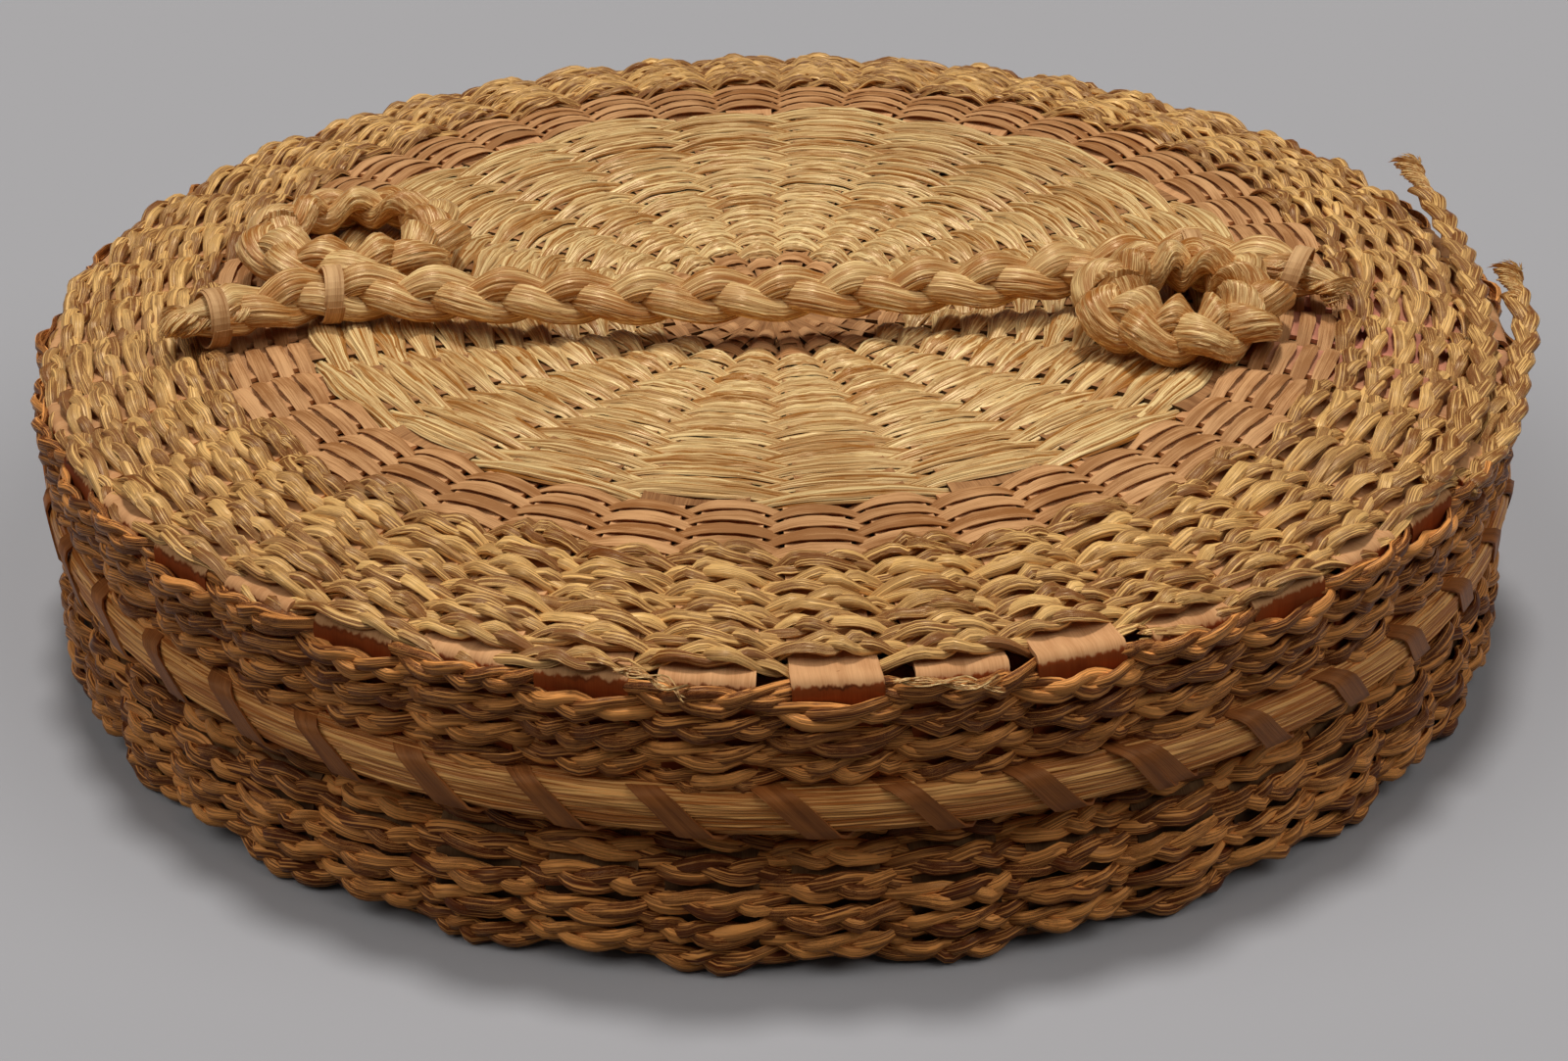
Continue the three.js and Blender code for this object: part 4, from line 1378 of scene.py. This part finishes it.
class BasketColours(bpy.types.PropertyGroup):
    """Colours of the stock that the basket is woven from."""

    grass_light: colour("Grass Light", "FFDE9C", "Pale blades of the loose sweetgrass")
    grass_dark: colour("Grass Dark", "A8661F", "Brown blades of the loose sweetgrass")
    braid_light: colour("Braid Light", "FFCA7A", "Pale blades of the braid on the lid's top")
    braid_dark: colour("Braid Dark", "7C4010", "Brown blades of the braid on the lid's top")
    wall_light: colour("Wall Light", "FFAC5C", "Pale blades of the braid on the walls")
    wall_dark: colour("Wall Dark", "5C2408", "Brown blades of the braid on the walls")
    splint_light: colour("Splint Light", "EAB27C", "Pale growth of the ash standards")
    splint_dark: colour("Splint Dark", "B87C4C", "Brown growth of the ash standards")
    # The fold tint is painted shade, multiplied into the standards below their fold
    fold: colour("Fold", "B47450", "Tint of the standards below their fold")
    # The stake colours are a darker copy of the splint's colours, painted shade for ash under the weave
    stake_light: colour("Stake Light", "C08A58", "Pale growth of the hidden stakes")
    stake_dark: colour("Stake Dark", "7A4A26", "Brown growth of the hidden stakes")
    weaver_light: colour("Weaver Light", "E0A871", "Pale growth of the thin ash weavers")
    weaver_dark: colour("Weaver Dark", "9A602F", "Brown growth of the thin ash weavers")
    lashing_light: colour("Lashing Light", "B87038", "Pale growth of the lashing")
    lashing_dark: colour("Lashing Dark", "763C16", "Brown growth of the lashing")
    rim_light: colour("Rim Light", "FFBE70", "Pale blades of the rim's bundle")
    rim_dark: colour("Rim Dark", "B4682C", "Brown blades of the rim's bundle")
    handle_light: colour("Handle Light", "FFD994", "Pale blades of the handle")
    handle_dark: colour("Handle Dark", "AC6826", "Brown blades of the handle")
    tie_light: colour("Tie Light", "DFB07A", "Pale growth of the ties")
    tie_dark: colour("Tie Dark", "96602F", "Brown growth of the ties")
    gloss: colour("Gloss", "FFE2B4", "Tint of the gloss on every fibre")
    dye: colour("Dye", "C8766A", "Old dye on a few of the standards")
    dust: colour("Dust", "D2AA7A", "Dust that lies on the weave")
    floor: colour("Floor", "A6A4A5", "Floor under the basket")


# Studio: camera, floor, and lamps as name, place, spread in degrees and power
CAMERA_PLACE = (0.0057, -0.5581, 0.3108)
CAMERA_LENS = 67.98
CAMERA_SENSOR = 36.0
CAMERA_NEAR = 0.01
CAMERA_DOWN = math.radians(28.63)
CAMERA_PAN = math.radians(-0.48)
CAMERA_ROLL = math.radians(-0.52)
STUDIO_HALF = 4.0
STUDIO_LEVEL = 0.4 * MM
STUDIO_DIM = (0.1, 0.1, 0.1, 1.0)
STUDIO_ROUGHNESS = 0.9
SKY = (1.0, 1.0, 1.0, 1.0)
SKY_STRENGTH = 0.05
LAMPS = [
    ("key", (0.0, 0.22, 1.0), 10.0, 1.8),
    ("left", (-1.0, -0.35, 1.3), 45.0, 0.85),
    ("right", (1.0, -0.35, 1.3), 45.0, 0.85),
]


class MakeStage(bpy.types.Operator):
    """Camera, floor and soft light"""

    bl_idname = "basket.stage"
    bl_label = "Stage"

    def execute(self, context):
        context.scene.view_settings.view_transform = "Standard"
        self.camera(context.scene)
        self.floor(context.scene)
        world = bpy.data.worlds.new("studio")
        world.use_nodes = True
        background = world.node_tree.nodes["Background"].inputs
        background["Color"].default_value = SKY
        background["Strength"].default_value = SKY_STRENGTH
        context.scene.world = world
        for lamp in LAMPS:
            self.lamp(context.scene, *lamp)
        return {"FINISHED"}

    def camera(self, scene):
        lens = bpy.data.cameras.new("view")
        lens.lens = CAMERA_LENS
        lens.sensor_width = CAMERA_SENSOR
        lens.sensor_fit = "HORIZONTAL"
        lens.clip_start = CAMERA_NEAR
        camera = bpy.data.objects.new("view", lens)
        camera.location = CAMERA_PLACE
        level = math.cos(CAMERA_DOWN)
        ahead = Vector((math.sin(CAMERA_PAN) * level, math.cos(CAMERA_PAN) * level, -math.sin(CAMERA_DOWN)))
        roll = Quaternion((0.0, 0.0, 1.0), CAMERA_ROLL)
        camera.rotation_mode = "QUATERNION"
        camera.rotation_quaternion = ahead.to_track_quat("-Z", "Y") @ roll
        scene.collection.objects.link(camera)
        scene.camera = camera

    def floor(self, scene):
        """Floor that is pale where it is seen, and dim in the light that it throws back."""
        mesh = bpy.data.meshes.new("floor")
        signs = ((-1, -1), (1, -1), (1, 1), (-1, 1))
        corners = [(x * STUDIO_HALF, y * STUDIO_HALF, STUDIO_LEVEL) for x, y in signs]
        mesh.from_pydata(corners, [], [(0, 1, 2, 3)])
        floor = bpy.data.objects.new("floor", mesh)
        scene.collection.objects.link(floor)
        paper = bpy.data.materials.new("floor_paper")
        paper.use_nodes = True
        tree = paper.node_tree
        shader = tree.nodes["Principled BSDF"]
        rays = add_node(tree, "ShaderNodeLightPath").outputs
        seen = Field(tree, rays["Is Camera Ray"]) + rays["Is Glossy Ray"] + rays["Is Transmission Ray"]
        pale = opaque(scene.basket_colours.floor)
        connect(tree, mixed(tree, seen.share(), STUDIO_DIM, pale), shader.inputs["Base Color"])
        shader.inputs["Roughness"].default_value = STUDIO_ROUGHNESS
        mesh.materials.append(paper)

    def lamp(self, scene, name, place, spread, power):
        light = bpy.data.lights.new(name, "SUN")
        light.angle = math.radians(spread)
        light.energy = power
        lamp = bpy.data.objects.new(name, light)
        lamp.location = place
        lamp.rotation_mode = "QUATERNION"
        lamp.rotation_quaternion = (-Vector(place)).to_track_quat("-Z", "Y")
        scene.collection.objects.link(lamp)


class MakeBase(bpy.types.Operator):
    """Floor, wall and rim of the base"""

    bl_idname = "basket.base"
    bl_label = "Base"

    def execute(self, context):
        lot = random.Random(BASE_SEED)
        split = BASE.out_to(RING[0])
        # Base standards take the darker stake finish, painted shade for ash inside the weave
        standards("base_splints", BASE, split, "stake", "base", "base_standards")
        inner = flat_rows(BASE, spaced(FLOOR_START, split, FLOOR_PITCH), 0, lot)
        weave("floor_weavers_inner", inner, "weaver", INNER_FLOOR_WEAVER, "base", "ash_weaver",
              "floor_weave_inner")
        outer = flat_rows(BASE, spaced(split, BASE.out_to(FLOOR_END), FLOOR_PITCH), 1, lot)
        weave("floor_weavers_outer", outer, "weaver", FLOOR_WEAVER, "base", "ash_weaver", "floor_weave_outer")
        pitch = context.scene.basket_sizes.braid_pitch
        rows = spaced(BASE.up_to(FOOT_LEVEL), BASE.up_to(NECK_TOP), pitch)
        for (name, nodes, steps_per_plait), (first, part) in zip(BASE_BRAIDS, in_thirds(rows)):
            sizes = {**braid_fit(BASE, part, steps_per_plait), **WALL_BRAID}
            strands = braid_rows(BASE, part, first, lot)
            weave(name, strands, "wall_braid", sizes, "base", "dark_braid", *nodes)
        rim = BASE.marks[-1] - BASE_RIM_DEPTH
        hoop("base_outer_hoop", BASE, rim, HOOP_OFF, "base", "base_rim_outer_hoop")
        hoop("base_inner_hoop", BASE, rim, -HOOP_OFF, "base", "base_rim_inner_hoop")
        lashing("base_lashing", BASE, rim, 0.0, BASE_LASHING, "base", "base_rim_lashing")
        return {"FINISHED"}


class MakeLidStandards(bpy.types.Operator):
    """Ash standards of the lid"""

    bl_idname = "basket.lid_standards"
    bl_label = "Lid Standards"

    def execute(self, context):
        standards("lid_splints", LID, LID.out_to(RING[0]), "splint", "lid", "lid_standards")
        return {"FINISHED"}


class MakeLidWeavers(bpy.types.Operator):
    """Thin ash weavers round the hub and in the band"""

    bl_idname = "basket.lid_weavers"
    bl_label = "Lid Weavers"

    def execute(self, context):
        lot = random.Random(LID_WEAVERS_SEED)
        hub = spaced(LID.out_to(HUB_START), LID.out_to(HUB[0]), HUB_PITCH)
        weave("hub_weavers", flat_rows(LID, hub, 1, lot), "weaver", HUB_WEAVER, "lid", "ash_weaver",
              "hub_weave")
        pitch = context.scene.basket_sizes.band_pitch
        band = spaced(LID.out_to(BAND_START), LID.out_to(BAND[0]), pitch)
        weave("splint_band_weavers", flat_rows(LID, band, 0, lot), "weaver", BAND_WEAVER, "lid", "ash_weaver",
              "splint_band")
        return {"FINISHED"}


class MakeFan(bpy.types.Operator):
    """Loose sweetgrass of the lid's fan"""

    bl_idname = "basket.fan"
    bl_label = "Sweetgrass Fan"

    def execute(self, context):
        lot = random.Random(FAN_SEED)
        pitch = context.scene.basket_sizes.grass_pitch
        rows = spaced(LID.out_to(HUB[0]), LID.out_to(RING[0]), pitch)
        for number, (first, part) in enumerate(in_thirds(rows), 1):
            strands = []
            for index, distance in enumerate(part):
                strands += self.blades(distance, first + index, lot)
            weave(f"sweetgrass_fan_{number}", strands, "grass", FAN_BLADE, "lid", "sweetgrass",
                  f"sweetgrass_row_{number}")
        return {"FINISHED"}

    def blades(self, distance, row, lot):
        """Blades of one row, highest at the middle of its width."""
        strands = []
        for blade in range(FAN_BLADES):
            place = 2.0 * (blade + lot.uniform(*FAN_PLACES)) / FAN_BLADES - 1.0
            off = (1.0 - place * place) * FAN_CREST - FAN_SINK + lot.uniform(-FAN_SCATTER, FAN_SCATTER) * MM
            strands.append(row_at(LID, distance, row, lot, across=place * FAN_HALF_SPREAD, off=off))
        return strands


class MakeLidBraids(bpy.types.Operator):
    """Braid on the lid's top, edge and side"""

    bl_idname = "basket.lid_braids"
    bl_label = "Lid Braids"

    def execute(self, context):
        lot = random.Random(LID_BRAIDS_SEED)
        pitch = context.scene.basket_sizes.braid_pitch
        top = spaced(LID.out_to(TOP_ROWS[0]), LID.out_to(TOP_ROWS[1]), pitch)
        first = 0
        for number, part in enumerate((top[rows] for rows in TOP_PARTS), 1):
            node = f"lid_top_braid_{number}"
            sizes = {**braid_fit(LID, part), **TOP_BRAID}
            weave(node + "_rows", braid_rows(LID, part, first, lot), "top_braid", sizes, "lid", "pale_braid",
                  node)
            first += len(part)
        corner = [LID.out_to(EDGE_ROW)]
        for name, begin, turn in EDGE_ARCS:
            sizes = {**braid_fit(LID, corner, turn=turn), **EDGE_BRAID, "start": begin, "turn": turn}
            weave(name, braid_rows(LID, corner, first, lot), "top_braid", sizes, "lid", "pale_braid",
                  "lid_edge_braid")
        first += len(corner)
        side = spaced(LID.down_to(SIDE_ROWS[0]), LID.down_to(SIDE_ROWS[1]), pitch)
        half = len(side) // 2
        for number, part in enumerate((side[:half], side[half:]), 1):
            node = f"lid_side_braid_{number}"
            sizes = {**braid_fit(LID, part), **WALL_BRAID}
            weave(node + "_rows", braid_rows(LID, part, first, lot), "wall_braid", sizes, "lid", "dark_braid",
                  node)
            first += len(part)
        return {"FINISHED"}


class MakeLidRim(bpy.types.Operator):
    """Lashed rim of the lid"""

    bl_idname = "basket.lid_rim"
    bl_label = "Lid Rim"

    def execute(self, context):
        lot = random.Random(LID_RIM_SEED)
        middle = LID.down_to(RIM_LEVEL)
        strands = []
        for layer, count in RIM_LAYERS:
            for number in range(count):
                turn = math.pi * ((number + 0.5) / count - 0.5)
                across = (RIM_HALF_HEIGHT - layer) * max(-1.0, min(1.0, RIM_FLATNESS * math.sin(turn)))
                off = RIM_OFF + (RIM_DEPTH - layer) * min(1.0, RIM_FLATNESS * math.cos(turn))
                row = number + RIM_LAYER_ROWS * layer / MM
                strands.append(row_at(LID, middle, row, lot, across=across, off=off))
        weave("lid_rim_grass", strands, "rim_grass", RIM_BLADE, "lid", "sweetgrass", "lid_rim_bundle")
        hoop("lid_inner_hoop", LID, middle, -HOOP_OFF, "lid", "lid_rim_inner_hoop")
        lashing("lid_lashing", LID, middle, LASHING_OFF, LID_LASHING, "lid", "lid_rim_lashing")
        lashing("lid_second_lashing", LID, middle, LASHING_OFF, SECOND_LASHING, "lid", "lid_rim_lashing",
                wraps=1, begin=SECOND_WRAP)
        return {"FINISHED"}


class MakeHandle(bpy.types.Operator):
    """Plaited handle, its two loops and its ties"""

    bl_idname = "basket.handle"
    bl_label = "Handle"

    def execute(self, context):
        path = self.line()
        plait("handle_plait", path, "handle_grass", HANDLE_CORD, "sweetgrass", "handle_braid")
        tails = {"left_tail": path[TAIL_STOPS - 1::-1], "right_tail": path[-TAIL_STOPS:]}
        for name, stretch in tails.items():
            plait(name, stretch, "handle_grass", TAIL, "sweetgrass", "handle_braid")
        for node, centre, reach, rise, cord in LOOPS:
            ring = self.ring(centre, reach, rise, middle_of(node))
            plait(node + "_plait", ring, "handle_grass", cord, "sweetgrass", node, closed=True)
        for node, stop in TIES:
            place = HANDLE_STEPS * stop
            self.tie(node, path[place], path[place + 1] - path[place - 1])
        return {"FINISHED"}

    def line(self):
        """Line through the middle of the handle, lowest over the hub and drooping at its ends."""
        between = (HANDLE_END + HANDLE_DIP) / 2
        heights = [
            HANDLE_END - LEFT_DROOP, HANDLE_END, HANDLE_END, between, HANDLE_DIP, between, HANDLE_END,
            HANDLE_END, HANDLE_END - RIGHT_DROOP,
        ]
        return smooth_path([Vector((x, y, z)) for (x, y), z in zip(HANDLE_PLAN, heights)], HANDLE_STEPS)

    def ring(self, centre, reach, rise, height):
        """Oval line whose front and back each rise off a height."""
        points = []
        for stop in range(LOOP_STOPS):
            turn = math.pi + math.tau * stop / LOOP_STOPS
            back = 0.5 + 0.5 * math.sin(turn)
            x, y = centre[0] + reach[0] * math.cos(turn), centre[1] + reach[1] * math.sin(turn)
            points.append((x, y, height + rise[0] * (1.0 - back) + rise[1] * back))
        return points

    def tie(self, node, centre, ahead):
        """Splint wrapped round the handle, each turn over the one before."""
        name = node + "_wrap"
        ahead = ahead.normalized()
        across = ahead.cross(Vector((0.0, 0.0, 1.0))).normalized()
        upright = across.cross(ahead)
        corners, faces, grain = [], [], []
        total = TIE_TURNS * TIE_STEPS
        for step in range(total + 1):
            turn = math.tau * step / TIE_STEPS
            lean = TIE_SLANT * math.sin(turn + TIE_SLANT_TURN) + (step / total - 0.5) * TIE_SPREAD
            room = TIE_ROOM + TIE_BUILD_UP * step / total
            for side, lift in TIE_SECTION:
                width, height = [half + room + lift * TIE_THICKNESS for half in HANDLE_HALF]
                place = centre + across * (width * math.cos(turn)) + upright * (height * math.sin(turn))
                corners.append(place + ahead * (lean + side * TIE_HALF_WIDTH))
                grain += [turn * TIE_GRAIN[0], side * TIE_HALF_WIDTH / MM, lift * TIE_GRAIN[1]]
        sides = len(TIE_SECTION)
        for step in range(total):
            for corner in range(sides):
                here, beside = step * sides + corner, step * sides + (corner + 1) % sides
                faces.append((here, beside, beside + sides, here + sides))
        faces += [tuple(reversed(range(sides))), tuple(range(total * sides, (total + 1) * sides))]
        mesh = bpy.data.meshes.new(name)
        mesh.from_pydata([tuple(corner) for corner in corners], [], faces)
        mesh.attributes.new("grain", "FLOAT_VECTOR", "POINT").data.foreach_set("vector", grain)
        chances = [random.Random(node).random()] * len(corners)
        mesh.attributes.new("chance", "FLOAT", "POINT").data.foreach_set("value", chances)
        mesh.materials.append(finish("tie"))
        piece = bpy.data.objects.new(name, mesh)
        bpy.context.scene.collection.objects.link(piece)
        settle(piece, "lid", "ash_weaver", node)


class MakeLooseEnds(bpy.types.Operator):
    """Edge braid that has come loose, and its frayed ends"""

    bl_idname = "basket.loose_ends"
    bl_label = "Loose Ends"

    def execute(self, context):
        period = context.scene.basket_sizes.braid_period
        for name, stops, sizes in LOOSE_ENDS:
            places = []
            for degrees, radius, height in stops:
                turn = math.radians(degrees)
                reach = radius * MM
                places.append(Vector((reach * math.cos(turn), reach * math.sin(turn), height * MM)))
            path = smooth_path(places, LOOSE_STEPS)
            span = sum((end - start).length for start, end in zip(path, path[1:]))
            fit = {"steps": round(span / LOOSE_STEP), "plaits": span / period}
            look = "top_braid" if sizes is LOOSE_BRAID else "handle_grass"
            plait(name, path, look, {**fit, **sizes}, "pale_braid", "lid_edge_braid")
        return {"FINISHED"}


class BasketPanel(bpy.types.Panel):
    """Sizes, colours and pieces of the basket"""

    bl_idname = "VIEW3D_PT_basket"
    bl_label = "Covered Sewing Basket"
    bl_space_type = "VIEW_3D"
    bl_region_type = "UI"
    bl_category = "Basket"

    def draw(self, context):
        for group in (context.scene.basket_sizes, context.scene.basket_colours):
            for name in group.__annotations__:
                self.layout.prop(group, name)
        for operator in OPERATORS:
            self.layout.operator(operator.bl_idname)


OPERATORS = [
    MakeStage,
    MakeBase,
    MakeLidStandards,
    MakeLidWeavers,
    MakeFan,
    MakeLidBraids,
    MakeLidRim,
    MakeHandle,
    MakeLooseEnds,
]
CLASSES = [BasketSizes, BasketColours, *OPERATORS, BasketPanel]


def register():
    for item in CLASSES:
        bpy.utils.register_class(item)
    bpy.types.Scene.basket_sizes = bpy.props.PointerProperty(type=BasketSizes)
    bpy.types.Scene.basket_colours = bpy.props.PointerProperty(type=BasketColours)


def unregister():
    del bpy.types.Scene.basket_sizes
    del bpy.types.Scene.basket_colours
    for item in reversed(CLASSES):
        bpy.utils.unregister_class(item)


def main():
    register()
    bpy.ops.basket.stage()
    bpy.ops.basket.base()
    bpy.ops.basket.lid_standards()
    bpy.ops.basket.lid_weavers()
    bpy.ops.basket.fan()
    bpy.ops.basket.lid_braids()
    bpy.ops.basket.lid_rim()
    bpy.ops.basket.handle()
    bpy.ops.basket.loose_ends()


if __name__ == "__main__":
    main()
